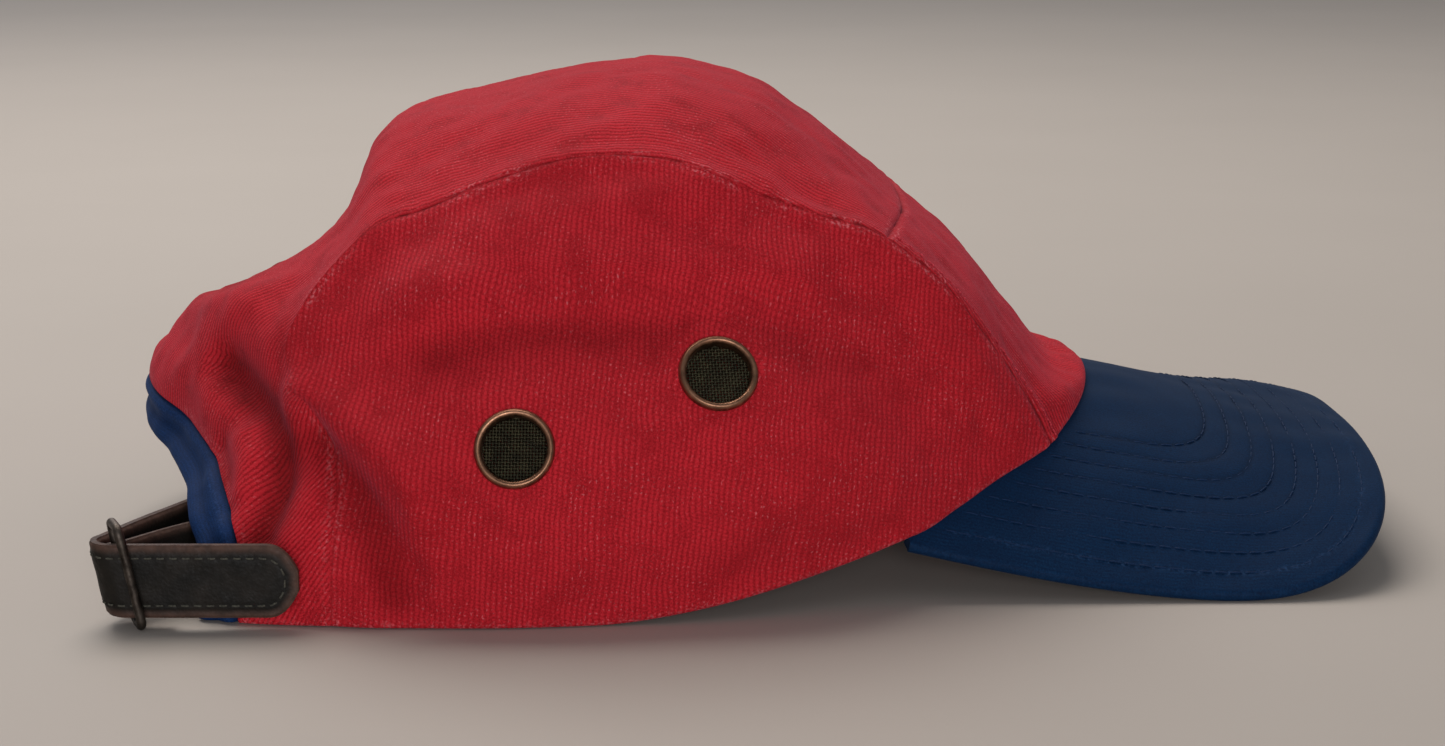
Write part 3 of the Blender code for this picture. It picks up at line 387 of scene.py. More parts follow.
@dataclass
class CrownForm:
    """The cap's shape as its sizes and tables give it, in metres from the back of the crown."""

    length: float = 0.2041
    half_width: float = 0.0895
    height: float = 0.0998
    wall: float = 0.0016
    seat_gap: float = 0.0005
    rim_to_arch: float = 0.0185
    arch_height: float = 0.0320
    arch_power: float = 3.2
    cloth_arch_power: float = 2.7
    binding_width: float = 0.0088
    visor_reach: float = 0.0599
    visor_half_width: float = 0.0720
    visor_root_height: float = 0.0323
    visor_fall: float = 0.0130
    visor_root_bend: float = 0.0313
    visor_front_bend: float = 0.0136
    visor_bend_power: float = 2.75
    visor_left_ease: float = 0.24
    visor_curl: float = 0.0023
    visor_curl_at: float = 0.2480
    visor_curl_width: float = 0.0160
    visor_curl_side: tuple[float, float] = (0.008, 0.036)
    rim_touch: float = 0.49
    rim_lift_power: float = 1.6
    drawn_in: float = 0.16
    drawn_in_from: float = 0.32
    flat_round_eyelet: float = 0.0100
    flat_fade: float = 0.0070
    firm_edge: float = 0.0050
    push_axis: tuple[float, float, float] = (0.47, 0.0, 0.10)
    push_level_below: float = 0.15
    ridge_power: float = 1.5
    walk_step: float = 0.06
    eyelet_grid: int = 161
    rim_steps: int = 400
    arch_steps: int = 200
    halvings: int = 40
    leg_cells: int = 60

    @property
    def middle(self) -> Array:
        """A place inside the crown, which all its panels face away from."""
        return self.at(0.5, 0.0, 0.3)

    def at(self, along: Any, out: Any, up: Any) -> Array:
        """Turn shares of the crown's sizes into a point."""
        point = np.empty(np.broadcast(along, out, up).shape + (3,))
        point[..., 0] = np.asarray(along) * self.length
        point[..., 1] = np.asarray(out) * self.half_width
        point[..., 2] = np.asarray(up) * self.height
        return point

    def visor_top(self, x: Array, y: Array) -> Array:
        """Height of the visor's upper surface, which bends down on both sides."""
        corner = RIM[VISOR_CORNER][0] * self.length
        reach = self.length + self.visor_reach - corner
        forward = np.clip((x - corner) / reach, 0, 1)
        bend = self.visor_front_bend - self.visor_root_bend
        bend = self.visor_root_bend + bend * forward ** self.visor_bend_power
        middle = self.visor_root_height - self.visor_fall * (x - self.length) / self.visor_reach
        bend *= np.where(y > 0, 1 - self.visor_left_ease * forward, 1.0)
        curl = self.visor_curl * hump(x, self.visor_curl_at, self.visor_curl_width)
        curl *= fade(y, *self.visor_curl_side)
        return middle - bend * (y / self.visor_half_width) ** 2 + curl

    def strip_point(self, row: Any, across: Any) -> Array:
        """Point on the front, top and back strip. Across runs from -1 at the right seam."""
        table = smooth_rows(SECTIONS, row)
        get = {name: table[..., i] for i, name in enumerate(SECTION_COLUMNS)}
        seam = self.at(get["seam_along"], get["seam_out"], get["seam_up"])
        middle = self.at(get["mid_along"], 0 * get["mid_up"], get["mid_up"])
        hug = np.stack([get["hug_along"], get["hug_out"], get["hug_up"]], -1)
        handle = seam + hug * (middle - seam)
        reach = middle.copy()
        reach[..., 1] += get["reach"] * seam[..., 1]
        u = (1 - np.abs(across))[..., None]
        point = ((1 - u) ** 3 * seam + 3 * u * (1 - u) ** 2 * handle
                 + 3 * u ** 2 * (1 - u) * reach + u ** 3 * middle)
        ridge = np.sin(math.pi * u[..., 0]) ** self.ridge_power
        point[..., 2] += get["ridge"] * self.height * ridge
        point[..., 1] *= np.where(across < 0, -1.0, 1.0)
        return point

    def seated_strip(self, row: Any, across: Any) -> Array:
        """The strip with its front edge laid on the visor."""
        row, across = np.broadcast_arrays(np.asarray(row, float), np.asarray(across, float))
        point = self.strip_point(row, across)
        edge = self.strip_point(0 * row, across)
        lift = self.visor_top(edge[..., 0], edge[..., 1]) + self.seat_gap - edge[..., 2]
        point[..., 2] += lift * np.clip(1 - row / 2, 0, 1) ** 2
        point[..., 2] *= np.where(row >= LAST_SECTION, 0.0, 1.0)
        return point

    def strip_surface(self, row: Any, across: Any) -> Array:
        """The strip seated on the visor, with its folds pressed in."""
        return self.pressed(self.seated_strip(row, across))

    def rim_point(self, station: Array, sign: float) -> Array:
        """Rim of a side panel, from the front seam at 0 to the rear seam at 1."""
        plan = smooth_rows(RIM, station * (len(RIM) - 1))
        point = self.at(plan[..., 0], sign * plan[..., 1], 0 * plan[..., 0])
        corner = self.at(RIM[VISOR_CORNER][0], sign * RIM[VISOR_CORNER][1], 0.0)
        corner_lift = self.visor_top(corner[0], corner[1]) + self.seat_gap
        free = (plan[..., 0] - self.rim_touch) / (RIM[VISOR_CORNER][0] - self.rim_touch)
        on_visor = plan[..., 0] >= RIM[VISOR_CORNER][0]
        seated = self.visor_top(point[..., 0], point[..., 1]) + self.seat_gap
        lifted = corner_lift * np.clip(free, 0, 1) ** self.rim_lift_power
        point[..., 2] = np.where(on_visor, seated, lifted)
        return point

    def side_point(self, station: Any, height: Any, sign: float) -> Array:
        """A side panel between its rim and seams, before folds. Both run from 0 to 1."""
        station, height = np.broadcast_arrays(np.asarray(station, float),
                                              np.asarray(height, float))
        v, u = height[..., None], station[..., None]
        bottom = self.rim_point(station, sign)
        top = self.seated_strip(FRONT_CORNER + station * (REAR_CORNER - FRONT_CORNER), sign)
        front = self.seated_strip(height * FRONT_CORNER, sign)
        rear = self.seated_strip(LAST_SECTION - height * (LAST_SECTION - REAR_CORNER), sign)
        foot, heel, brow, nape = (self.seated_strip(np.float64(row), sign)
                                  for row in (0, LAST_SECTION, FRONT_CORNER, REAR_CORNER))
        corners = ((1 - u) * (1 - v) * foot + u * (1 - v) * heel
                   + (1 - u) * v * brow + u * v * nape)
        point = (1 - v) * bottom + v * top + (1 - u) * front + u * rear - corners
        place = np.interp(station, SWELL[:, 0], np.arange(len(SWELL)))
        rows = smooth_rows(SWELL, place)[..., 1:]
        profile = np.concatenate([0 * rows[..., :1], rows, 0 * rows[..., :1]], -1)
        swell = smooth_across(profile, height * (profile.shape[-1] - 1))
        point[..., 1] += sign * swell * self.half_width
        return point

    def fold_rise(self, point: Array, folds: Array) -> Array:
        """How far a table of folds lifts each point."""
        rise = np.zeros(point.shape[:-1])
        for fold in folds:
            a, b = self.at(*fold[0:3]), self.at(*fold[3:6])
            width, height = fold[6:8] * self.height
            share = np.clip((point - a) @ (b - a) / ((b - a) @ (b - a)), 0, 1)
            off = np.linalg.norm(point - a - share[..., None] * (b - a), axis=-1)
            rise += height * np.exp(-(off / width) ** 2)
        return rise

    def crease_rise(self, points: Array) -> Array:
        """How far the finer folds lift each of a list of points."""
        rise = np.zeros(len(points))
        for width, height, knots in CREASES:
            line = smooth_rows(np.array(knots) / THOUSAND,
                               np.linspace(0, len(knots) - 1, CREASE_STEPS))
            away = np.linalg.norm(points[:, None] - self.at(*line.T), axis=-1).min(1)
            fold = Rise(height / THOUSAND * self.height, 0.0, width / THOUSAND * self.height)
            rise += fold.at(away)
        return rise

    def pressed(self, point: Array) -> Array:
        """Press the folds into the cloth and draw in the far side of the back."""
        point = np.array(point, float)
        size = np.array([self.length / 2, self.half_width, self.height])
        outward = unit((point - self.at(*self.push_axis)) / size ** 2)
        outward[..., 2] *= fade(point[..., 2], 0.0, self.push_level_below * self.height)
        point += outward * self.fold_rise(point, FOLDS)[..., None]
        drawn = self.drawn_in * fade(-point[..., 0], -self.drawn_in_from * self.length, 0.0)
        point[..., 1] *= np.where(point[..., 1] > 0, 1 - drawn, 1.0)
        return point

    def eyelet_frames(self) -> dict[str, tuple[Array, Array]]:
        """Centre and outward direction of each eyelet, by name, on the pressed panels."""
        frames = {}
        grid = np.linspace(0, 1, self.eyelet_grid)
        station, height = np.meshgrid(grid, grid, indexing="ij")
        for side in Side:
            surface = self.pressed(self.side_point(station, height, side.value))
            slope_u, slope_v = np.gradient(surface, axis=(0, 1))
            normal = unit(np.cross(slope_u, slope_v))
            normal *= np.where(normal[..., 1:2] * side.value < 0, -1, 1)
            for name, along, up in EYELETS:
                spot = self.at(along, 0.0, up)
                off = np.hypot(surface[..., 0] - spot[0], surface[..., 2] - spot[2])
                near = off < self.flat_round_eyelet
                i, j = np.unravel_index(np.argmin(off), off.shape)
                frames[f"{name}_{side.word}"] = (surface[i, j], unit(normal[near].mean(0)))
        return frames

    def side_surface(self, station: Array, height: Array, side: Side,
                     frames: dict[str, tuple[Array, Array]]) -> Array:
        """A side panel with its folds, lying flat round its eyelets."""
        point = self.pressed(self.side_point(station, height, side.value))
        for name, _, _ in EYELETS:
            centre, normal = frames[f"{name}_{side.word}"]
            off = point - centre
            above = off @ normal
            radius = np.linalg.norm(off - above[..., None] * normal, axis=-1)
            flat = 1 - fade(radius, self.flat_round_eyelet,
                            self.flat_round_eyelet + self.flat_fade)
            flat *= np.abs(above) < 2 * self.flat_round_eyelet
            point -= (above * flat)[..., None] * normal
        return point

    def rim_share(self, distance: float) -> float:
        """How far across the last section lies a point of the rim, from the seam."""
        across = np.linspace(-1, 0, self.rim_steps)
        rim = self.strip_point(np.full_like(across, LAST_SECTION), across)
        return np.interp(distance, run_length(rim), across)

    def arch_line(self, inset: float, cells: int, power: float) -> tuple[Array, Array]:
        """Rows and places across of an arch inside the outermost one, at even steps."""
        foot = -self.rim_share(self.rim_to_arch + inset)
        angle = np.linspace(0, math.pi / 2, self.arch_steps)
        across = -foot * np.cos(angle) ** (2 / power)
        target = (self.arch_height - inset) * np.sin(angle) ** (2 / power)
        low = np.full_like(across, REAR_CORNER - 2.0)
        high = np.full_like(across, float(LAST_SECTION))
        for _ in range(self.halvings):
            half = (low + high) / 2
            above = self.strip_point(half, across)[..., 2] > target
            low = np.where(above, half, low)
            high = np.where(above, high, half)
        row = np.where(target > 0, high, LAST_SECTION)
        length = run_length(self.strip_point(row, across))
        even = length[-1] * np.linspace(0, 1, cells // 2 + 1)
        row = np.interp(even, length, row)
        across = np.interp(even, length, across)
        return (np.concatenate([row, row[-2::-1]]),
                np.concatenate([across, -across[-2::-1]]))

    def arch_across(self, inset: float, height: float) -> float:
        """Place across the strip where an arch's right leg stands at a height."""
        row, across = self.arch_line(inset, self.leg_cells, self.arch_power)
        leg = slice(self.leg_cells // 2 + 1)
        return np.interp(height, self.strip_point(row, across)[leg, 2], across[leg])

    def wall_walk(self, places: Any, offset: float, sign: float, height: float) -> Array:
        """Plan points inside the wall at a height, from the arch's edge to its band's."""
        rows = np.arange(LAST_SECTION, REAR_CORNER, -1)
        row = np.interp(height / self.height, SECTIONS[rows, 2], rows)
        edge = self.arch_across(0.0, height)
        inner_edge = self.arch_across(self.binding_width, height)
        near = np.asarray(places)[:, None] + self.walk_step * np.array([-1, 0, 1])
        across = -sign * (edge + (inner_edge - edge) * near)
        wall = self.strip_surface(np.full(across.shape, row), across)[..., :2]
        tangent = unit(wall[:, 2] - wall[:, 0])
        inward = np.stack([tangent[:, 1], -tangent[:, 0]], -1) * -sign
        return wall[:, 1] + inward * offset

    def model_shift(self) -> Array:
        """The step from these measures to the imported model, read at its mesh discs."""
        shifts = []
        for name, (centre, normal) in self.eyelet_frames().items():
            low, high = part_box(f"eyelet_mesh_{name}")
            disc = centre - normal * (self.wall / 2 + Eyelet.disc_thickness / 2)
            shifts.append((np.array(low) + np.array(high)) / 2 - disc)
        return np.mean(shifts, axis=0)


def face_normals(corners: Array) -> Array:
    """Normals of four-cornered faces, as long as twice their area."""
    return np.cross(corners[:, 2] - corners[:, 0], corners[:, 3] - corners[:, 1])


@dataclass
class Panel:
    """One piece of cloth as points, faces and its flat cutting, before it has a thickness."""

    points: Array
    faces: Array
    flat: Array

    @classmethod
    def from_grids(cls, grids: list[Array], flats: list[Array], middle: Array) -> "Panel":
        """Weld grids that meet into one panel that faces away from a point.

        Args:
            grids: arrays of points in rows.
            flats: for each grid, where its points lie in the flat cloth, in metres.
            middle: a point behind the panel.

        Returns:
            The panel.
        """
        points = np.concatenate([grid.reshape(-1, 3) for grid in grids])
        flat = np.concatenate([grid.reshape(-1, 2) for grid in flats])
        places = np.round(points / (10 * TOUCH)).astype(int)
        _, first, number = np.unique(places, axis=0, return_index=True, return_inverse=True)
        number = number.reshape(-1)
        faces = []
        start = 0
        for grid in grids:
            rows, lines = grid.shape[:2]
            index = number[start:start + rows * lines].reshape(rows, lines)
            quads = grid_faces(index)
            corners = points[first][quads]
            inward = (face_normals(corners) * (corners.mean(1) - middle)).sum() < 0
            faces.append(quads[:, ::-1] if inward else quads)
            start += rows * lines
        return cls(points[first], np.concatenate(faces), flat[first])

    def normals(self) -> Array:
        """Directions square to the cloth at its points."""
        total = np.zeros_like(self.points)
        whole = face_normals(self.points[self.faces])
        for k in range(4):
            np.add.at(total, self.faces[:, k], whole)
        return unit(total)

    def inward(self) -> Array:
        """Directions from the panel's points to the middle of the faces round them."""
        total = np.zeros_like(self.points)
        middles = self.points[self.faces].mean(1)
        for k in range(4):
            np.add.at(total, self.faces[:, k], middles)
        count = np.bincount(self.faces.ravel(), minlength=len(self.points))
        return unit(total / np.maximum(count, 1)[:, None] - self.points)

    def border(self) -> Array:
        """Edges along the panel's border."""
        return border_edges(self.faces, len(self.points))


@dataclass
class Seams:
    """Where a panel is sewn to others: how far each of its points lies from the seams and
    from its free edges, the nearest seam point, the direction out of the seam there, and how
    steeply the cloth rises on both sides of it."""

    from_seam: Array
    from_edge: Array
    seam_point: Array
    seam_normal: Array
    seam_rise: Array

    @classmethod
    def of_panels(cls, panels: dict[str, Panel]) -> "dict[str, Seams]":
        """Measure the seams of panels that share border points.

        Args:
            panels: the panels by name.

        Returns:
            The seams of each panel by name.
        """
        own = {name: panel.normals() for name, panel in panels.items()}
        rims = {name: np.unique(panel.border()) for name, panel in panels.items()}
        points = np.concatenate([panels[name].points[rim] for name, rim in rims.items()])
        normals = np.concatenate([own[name][rim] for name, rim in rims.items()])
        tree = point_tree(points)
        near = [[i for _, i, _ in tree.find_range(point, 20 * TOUCH)] for point in points]
        shared = unit(np.array([normals[found].sum(0) for found in near]))
        joined = np.array([len(found) > 1 for found in near])
        inward = np.concatenate([panels[name].inward()[rim] for name, rim in rims.items()])
        rise = (inward * shared).sum(-1)
        rise = np.array([rise[found].mean() for found in near])
        seams = {}
        start = 0
        for name, rim in rims.items():
            stop = start + len(rim)
            panel = panels[name]
            sewn = np.zeros(len(panel.points), bool)
            sewn[rim] = joined[start:stop]
            edges = panel.border()
            free = np.unique(edges[~(sewn[edges[:, 0]] & sewn[edges[:, 1]])])
            on_seam = rim[joined[start:stop]]
            from_seam, which = nearest(panel.points, panel.points[on_seam])
            from_edge, _ = nearest(panel.points, panel.points[free])
            seams[name] = cls(from_seam, from_edge, panel.points[on_seam][which],
                              shared[start:stop][joined[start:stop]][which],
                              rise[start:stop][joined[start:stop]][which])
            start = stop
        return seams

    def directions(self, panel: Panel, reach: float) -> Array:
        """Directions out of the panel, which agree with its neighbours' along the seams."""
        tied = hump(self.from_seam, 0.0, reach)[:, None]
        return unit(blend(tied, panel.normals(), self.seam_normal))

    def layers(self, points: Array, normal: Array, thickness: float, edge_round: float,
               extra: Any = 0.0) -> tuple[Array, Array]:
        """Give a cloth its thickness, rounded at its free edges and kept above the table.

        Args:
            points: the points of its outer face.
            normal: the directions outwards.
            thickness: the cloth's thickness.
            edge_round: how far in from a free edge the rounding reaches.
            extra: more thickness on the inside.

        Returns:
            Outer and inner points.
        """
        turned = 1 - np.clip(self.from_edge / edge_round, 0, 1)
        rounding = thickness / 2 * (1 - np.sqrt(1 - turned ** 2))
        inner = points - normal * (thickness - rounding + extra)[:, None]
        outer = points - normal * rounding[:, None]
        for layer in (outer, inner):
            layer[:, 2] = np.maximum(layer[:, 2], 0.0)
        return outer, inner


def linear(colour: str) -> tuple[float, float, float, float]:
    """Turn an sRGB hex colour into Blender's linear values."""
    parts = [int(colour[i:i + 2], 16) / 255 for i in (1, 3, 5)]
    parts = [c / 12.92 if c <= 0.04045 else ((c + 0.055) / 1.055) ** 2.4 for c in parts]
    return (parts[0], parts[1], parts[2], 1.0)


def new_object(name: str, data: bpy.types.ID) -> bpy.types.Object:
    """Put a mesh in the scene as an object."""
    thing = bpy.data.objects.new(name, data)
    bpy.context.collection.objects.link(thing)
    return thing


@dataclass
class Nodes:
    """A node tree and short ways to add to it."""

    tree: bpy.types.NodeTree

    def fill(self, node: bpy.types.Node, inputs: dict[Any, Any]) -> None:
        """Set a node's inputs, or link them to sockets, by name or number."""
        for key, value in inputs.items():
            if isinstance(value, bpy.types.NodeSocket):
                self.tree.links.new(value, node.inputs[key])
            else:
                node.inputs[key].default_value = value

    def node(self, kind: str, inputs: dict[Any, Any] | None = None, output: Any = 0,
             **settings: Any) -> Any:
        """Add a node.

        Args:
            kind: the node's type.
            inputs: values, or sockets to link, by input name or number.
            output: the name or number of the output that is wanted.
            **settings: properties of the node.

        Returns:
            The output's socket.
        """
        node = self.tree.nodes.new(kind)
        for name, value in settings.items():
            setattr(node, name, value)
        self.fill(node, inputs or {})
        return node.outputs[output]

    def math(self, operation: str, *values: Any) -> Any:
        """Work out a value from others."""
        return self.node("ShaderNodeMath", dict(enumerate(values)), operation=operation)

    def parts(self, vector: Any) -> Any:
        """The three parts of a vector."""
        return self.node("ShaderNodeSeparateXYZ", {0: vector}).node.outputs

    def vector(self, **parts: Any) -> Any:
        """A vector of the parts given, and 0 for the others."""
        return self.node("ShaderNodeCombineXYZ", parts)


@dataclass
class Shading(Nodes):
    """The nodes of a material round its principled shader."""

    shader: bpy.types.Node

    def put(self, inputs: dict[str, Any]) -> None:
        """Set or link the shader's inputs."""
        self.fill(self.shader, inputs)

    def noise(self, size: float, detail: float = 2.0, vector: Any = None) -> Any:
        """Soft random values with bumps of a size in metres, on the object's own places."""
        where = vector or self.node("ShaderNodeTexCoord", output="Object")
        inputs = {"Vector": where, "Scale": 1 / size, "Detail": detail}
        return self.node("ShaderNodeTexNoise", inputs, "Fac")

    def wave(self, value: Any, length: float) -> Any:
        """A wave between 0 and 1 along a value, of a length in metres."""
        turn = self.math("MULTIPLY", value, 2 * math.pi / length)
        return self.math("MULTIPLY_ADD", self.math("SINE", turn), 0.5, 0.5)

    def mark(self, name: str) -> Any:
        """The value that the mesh has at its points under a name."""
        return self.node("ShaderNodeAttribute", output="Fac", attribute_name=name)

    def mix(self, share: Any, first: Any, second: Any, mode: str = "MIX") -> Any:
        """Mix two colours, given as hex codes or sockets."""
        first, second = (linear(c) if isinstance(c, str) else c for c in (first, second))
        return self.node("ShaderNodeMix", {0: share, 6: first, 7: second}, 2,
                         data_type="RGBA", blend_type=mode, clamp_factor=True)

    def remap(self, value: Any, low: float, high: float, to_low: float = 0.0,
              to_high: float = 1.0) -> Any:
        """Stretch a value between two limits, without passing them."""
        inputs = dict(enumerate((value, low, high, to_low, to_high)))
        return self.node("ShaderNodeMapRange", inputs, clamp=True)

    def bump(self, height: Any, distance: float, strength: float = 1.0) -> None:
        """Bump the surface by a height between 0 and 1."""
        inputs = {"Height": height, "Distance": distance, "Strength": strength}
        self.put({"Normal": self.node("ShaderNodeBump", inputs, "Normal")})


@dataclass(frozen=True)
class Finish:
    """What all finishes share: a principled shader with its fixed values."""

    name: str
    roughness: float = 0.8
    metallic: float = 0.0

    def make(self) -> bpy.types.Material:
        """Build the material."""
        material = bpy.data.materials.new(self.name)
        material.use_nodes = True
        tree = material.node_tree
        work = Shading(tree, tree.nodes["Principled BSDF"])
        work.put({"Roughness": self.roughness, "Metallic": self.metallic})
        self.dress(work)
        return material

    def dress(self, work: Shading) -> None:
        """Give the surface its colours and its grain, which each finish does its own way."""
        raise NotImplementedError


@dataclass(frozen=True)
class TwillFinish(Finish):
    """Cotton twill, piece dyed. Slanting ribs of yarn, a faint cross weave and loose fibre
    ends give the eye a soft grain that catches light along its ribs. A span is a range of
    noise, and where it has four numbers the last two are what it is stretched to."""

    deep: str = "#8c0e17"
    middle: str = "#bf222d"
    pale: str = "#e88a90"
    rib: float = 0.00105
    yarn: float = 0.00080
    yarn_stagger: float = 0.37
    drift: float = 0.0022
    drift_size: float = 0.012
    fine_drift_size: float = 0.0025
    fine_drift_share: float = 0.25
    fuzz: float = 0.00030
    fuzz_share: float = 0.85
    relief: float = 0.00016
    rib_share: float = 0.16
    weave_share: float = 0.36
    full_size: float = 0.0060
    full_span: Span = (0.34, 0.62, 0.20, 1.0)
    flecks: float = 0.44
    fleck: float = 0.00042
    fleck_stretch: float = 0.70
    fleck_span: Span = (0.60, 0.72)
    fleck_run_size: float = 0.014
    fleck_run_span: Span = (0.42, 0.66, 0.25, 1.0)
    speck: float = 2.2
    speck_span: Span = (0.50, 0.66)
    contrast: Span = (0.35, 0.71)
    patch: float = 0.028
    patch_span: Span = (0.30, 0.75, 0.0, 0.30)
    sheen: float = 0.13
    sheen_roughness: float = 0.40
    sheen_tint: str = "#ff8cae"
    gloss: float = 0.16

    def dress(self, work: Shading) -> None:
        """Weave the cloth, then add its patches, flecks, worn places and shaded folds."""
        parts = work.parts(work.node("ShaderNodeUVMap", uv_map="flat"))
        drift = work.math("MULTIPLY_ADD", work.noise(self.fine_drift_size),
                          self.fine_drift_share, work.noise(self.drift_size))
        across = work.math("MULTIPLY_ADD", drift, self.drift, parts[0])
        rib = work.wave(across, self.rib)
        number = work.math("FLOOR", work.math("DIVIDE", across, self.rib))
        along = work.math("MULTIPLY_ADD", number, self.yarn * self.yarn_stagger, parts[1])
        yarn = work.wave(along, self.yarn)
        woven = work.math("MULTIPLY_ADD", work.math("MULTIPLY", rib, yarn), self.weave_share,
                          work.math("MULTIPLY", rib, self.rib_share))
        full = work.remap(work.noise(self.full_size, 4.0), *self.full_span)
        fuzz = work.math("MULTIPLY", work.noise(self.fuzz, 3.0), self.fuzz_share)
        height = work.math("MULTIPLY_ADD", woven, full, fuzz)
        colour = work.mix(work.remap(height, *self.contrast), self.deep, self.middle)
        patches = work.remap(work.noise(self.patch, 4.0), *self.patch_span)
        colour = work.mix(patches, colour, self.deep)
        drawn = work.math("MULTIPLY", parts[1], self.fleck_stretch)
        spot = work.vector(X=across, Y=drawn)
        fleck = work.remap(work.noise(self.fleck, 1.0, spot), *self.fleck_span)
        runs = work.remap(work.noise(self.fleck_run_size, 3.0), *self.fleck_run_span)
        fleck = work.math("MULTIPLY", fleck, work.math("MULTIPLY", runs, rib))
        fleck = work.math("MULTIPLY", fleck, self.flecks)
        specks = work.remap(work.noise(self.fuzz * self.speck, 2.0), *self.speck_span)
        worn = work.math("MULTIPLY", work.mark("wear"), specks)
        colour = work.mix(work.math("ADD", fleck, worn), colour, self.pale)
        colour = work.mix(work.mark("shade"), colour, self.deep, "MULTIPLY")
        work.put({"Base Color": colour, "Sheen Weight": self.sheen,
                  "Sheen Roughness": self.sheen_roughness,
                  "Sheen Tint": linear(self.sheen_tint), "Specular IOR Level": self.gloss})
        work.bump(height, self.relief)


@dataclass(frozen=True)
class LeatherFinish(Finish):
    """Vegetable-tanned cowhide, dyed dark and waxed. Fine pores and creases break a dull
    gloss, and the cut and skived edges show the browner, undyed middle of the hide."""

    face: str = "#0b0a07"
    high: str = "#1a1611"
    edge: str = "#4e3a31"
    gloss: float = 0.18
    pore: float = 0.0006
    pore_share: float = 0.6
    grain: float = 0.0011
    relief: float = 0.00010
    blot: float = 0.006
    blot_span: Span = (0.35, 0.7)
    scuff: float = 0.0016
    scuff_span: Span = (0.3, 0.6, 0.55, 1.0)
    gloss_span: Span = (-0.10, 0.12)

    def dress(self, work: Shading) -> None:
        """Colour the hide, show its edges and break its gloss with pores and grain."""
        where = work.node("ShaderNodeTexCoord", output="Object")
        pores = work.node("ShaderNodeTexVoronoi", {"Vector": where, "Scale": 1 / self.pore},
                          "Distance")
        grain = work.noise(self.grain, 4.0)
        height = work.math("MULTIPLY_ADD", pores, self.pore_share, grain)
        blot = work.remap(work.noise(self.blot, 4.0), *self.blot_span)
        scuffs = work.remap(work.noise(self.scuff, 3.0), *self.scuff_span)
        edge = work.math("MULTIPLY", work.mark("wear"), scuffs)
        colour = work.mix(edge, work.mix(blot, self.face, self.high), self.edge)
        rough = work.remap(grain, 0.3, 0.7, *(self.roughness + g for g in self.gloss_span))
        work.put({"Base Color": colour, "Roughness": rough, "Specular IOR Level": self.gloss})
        work.bump(height, self.relief, 0.7)


@dataclass(frozen=True)
class MetalFinish(Finish):
    """Antiqued metal, plated and then darkened. The high places of the rings are rubbed back to
    the warm metal, and a brown-black film stays in the low ones. The film is thinned the same
    way along the top of the wire loop, which is a painted highlight."""

    metallic: float = 1.0
    rubbed: str = "#b98a6c"
    film: str = "#3a2a20"
    film_share: float = 0.45
    film_spread: float = 0.3
    blot: float = 0.0022
    blot_span: Span = (0.35, 0.68)
    grain: float = 0.0005
    relief: float = 0.00002
    gloss_span: Span = (-0.08, 0.12)

    def dress(self, work: Shading) -> None:
        """Film the metal, thin it on worn crests and on the loop's painted highlight, and break
        its gloss.
        """
        film = work.remap(work.noise(self.blot, 4.0), *self.blot_span,
                          self.film_share - self.film_spread,
                          self.film_share + self.film_spread)
        # The wear mark thins the film: worn crests on the eyelet rings, and a painted highlight
        # on the loop's top
        film = work.math("MULTIPLY", film, work.math("SUBTRACT", 1.0, work.mark("wear")))
        grain = work.noise(self.grain, 3.0)
        rough = work.remap(grain, 0.3, 0.7, *(self.roughness + g for g in self.gloss_span))
        work.put({"Base Color": work.mix(film, self.rubbed, self.film), "Roughness": rough})
        work.bump(grain, self.relief, 0.6)


@dataclass(frozen=True)
class ThreadFinish(Finish):
    """Spun sewing thread, matt, with a little lighter and darker fibre."""

    light: str = "#504f46"
    dark: str = "#36352f"
    fibre: float = 0.0004
    relief: float = 0.00004
    gloss: float = 0.10

    def dress(self, work: Shading) -> None:
        """Colour the thread fibre by fibre."""
        fibre = work.noise(self.fibre, 2.0)
        work.put({"Base Color": work.mix(work.remap(fibre, 0.35, 0.65), self.dark, self.light),
                  "Specular IOR Level": self.gloss})
        work.bump(fibre, self.relief)


@dataclass(frozen=True)
class FloorFinish(Finish):
    """A painted board, flat and matt, a warm pale grey with the faintest unevenness."""

    pale: str = "#b0a89f"
    dim: str = "#aaa299"
    cloud: float = 0.15
    grain: float = 0.0012
    relief: float = 0.00003

    def dress(self, work: Shading) -> None:
        """Cloud the paint and give it a fine grain."""
        work.put({"Base Color": work.mix(work.noise(self.cloud, 3.0), self.dim, self.pale)})
        work.bump(work.noise(self.grain, 2.0), self.relief, 0.5)


RED_TWILL = TwillFinish("red brushed cotton twill", roughness=0.9)
TOP_TWILL = replace(RED_TWILL, name="red brushed cotton twill on the top", rib_share=0.42,
                    weave_share=0.40, contrast=(0.41, 0.67), sheen=0.095)
BLUE_TWILL = TwillFinish("blue cotton twill", roughness=0.62, deep="#0b1c34",
                         middle="#0d2f50", pale="#34527a", rib=0.0007, yarn=0.0006,
                         fuzz=0.00035, relief=0.00003, rib_share=0.08, weave_share=0.10,
                         flecks=0.05, contrast=(0.28, 0.78), patch=0.035, sheen=0.06,
                         sheen_tint="#a9b6cc", gloss=0.04)
BINDING_TWILL = replace(BLUE_TWILL, name="blue cotton twill binding", roughness=0.75,
                        deep="#0a1e3c", middle="#133a70", pale="#40629a", fuzz=0.0003,
                        relief=0.00004, weave_share=0.12, patch=0.02, sheen=0.05,
                        sheen_tint="#7f9fdf", gloss=0.10)
HARNESS_LEATHER = LeatherFinish("dark waxed cowhide", roughness=0.58)
ANTIQUE_BRASS = MetalFinish("antiqued copper-brass", roughness=0.40, rubbed="#a57a60",
                            film="#2c2019", film_share=0.55)
DARK_BRONZE = MetalFinish("darkened bronze wire", roughness=0.52, rubbed="#5c544d",
                          film="#1a1714", film_share=0.62)
BLACK_WIRE = MetalFinish("blackened steel wire", roughness=0.6, metallic=0.7,
                         rubbed="#48442f", film="#1c1a12", film_share=0.5)
GREY_THREAD = ThreadFinish("grey waxed linen thread", roughness=0.7)
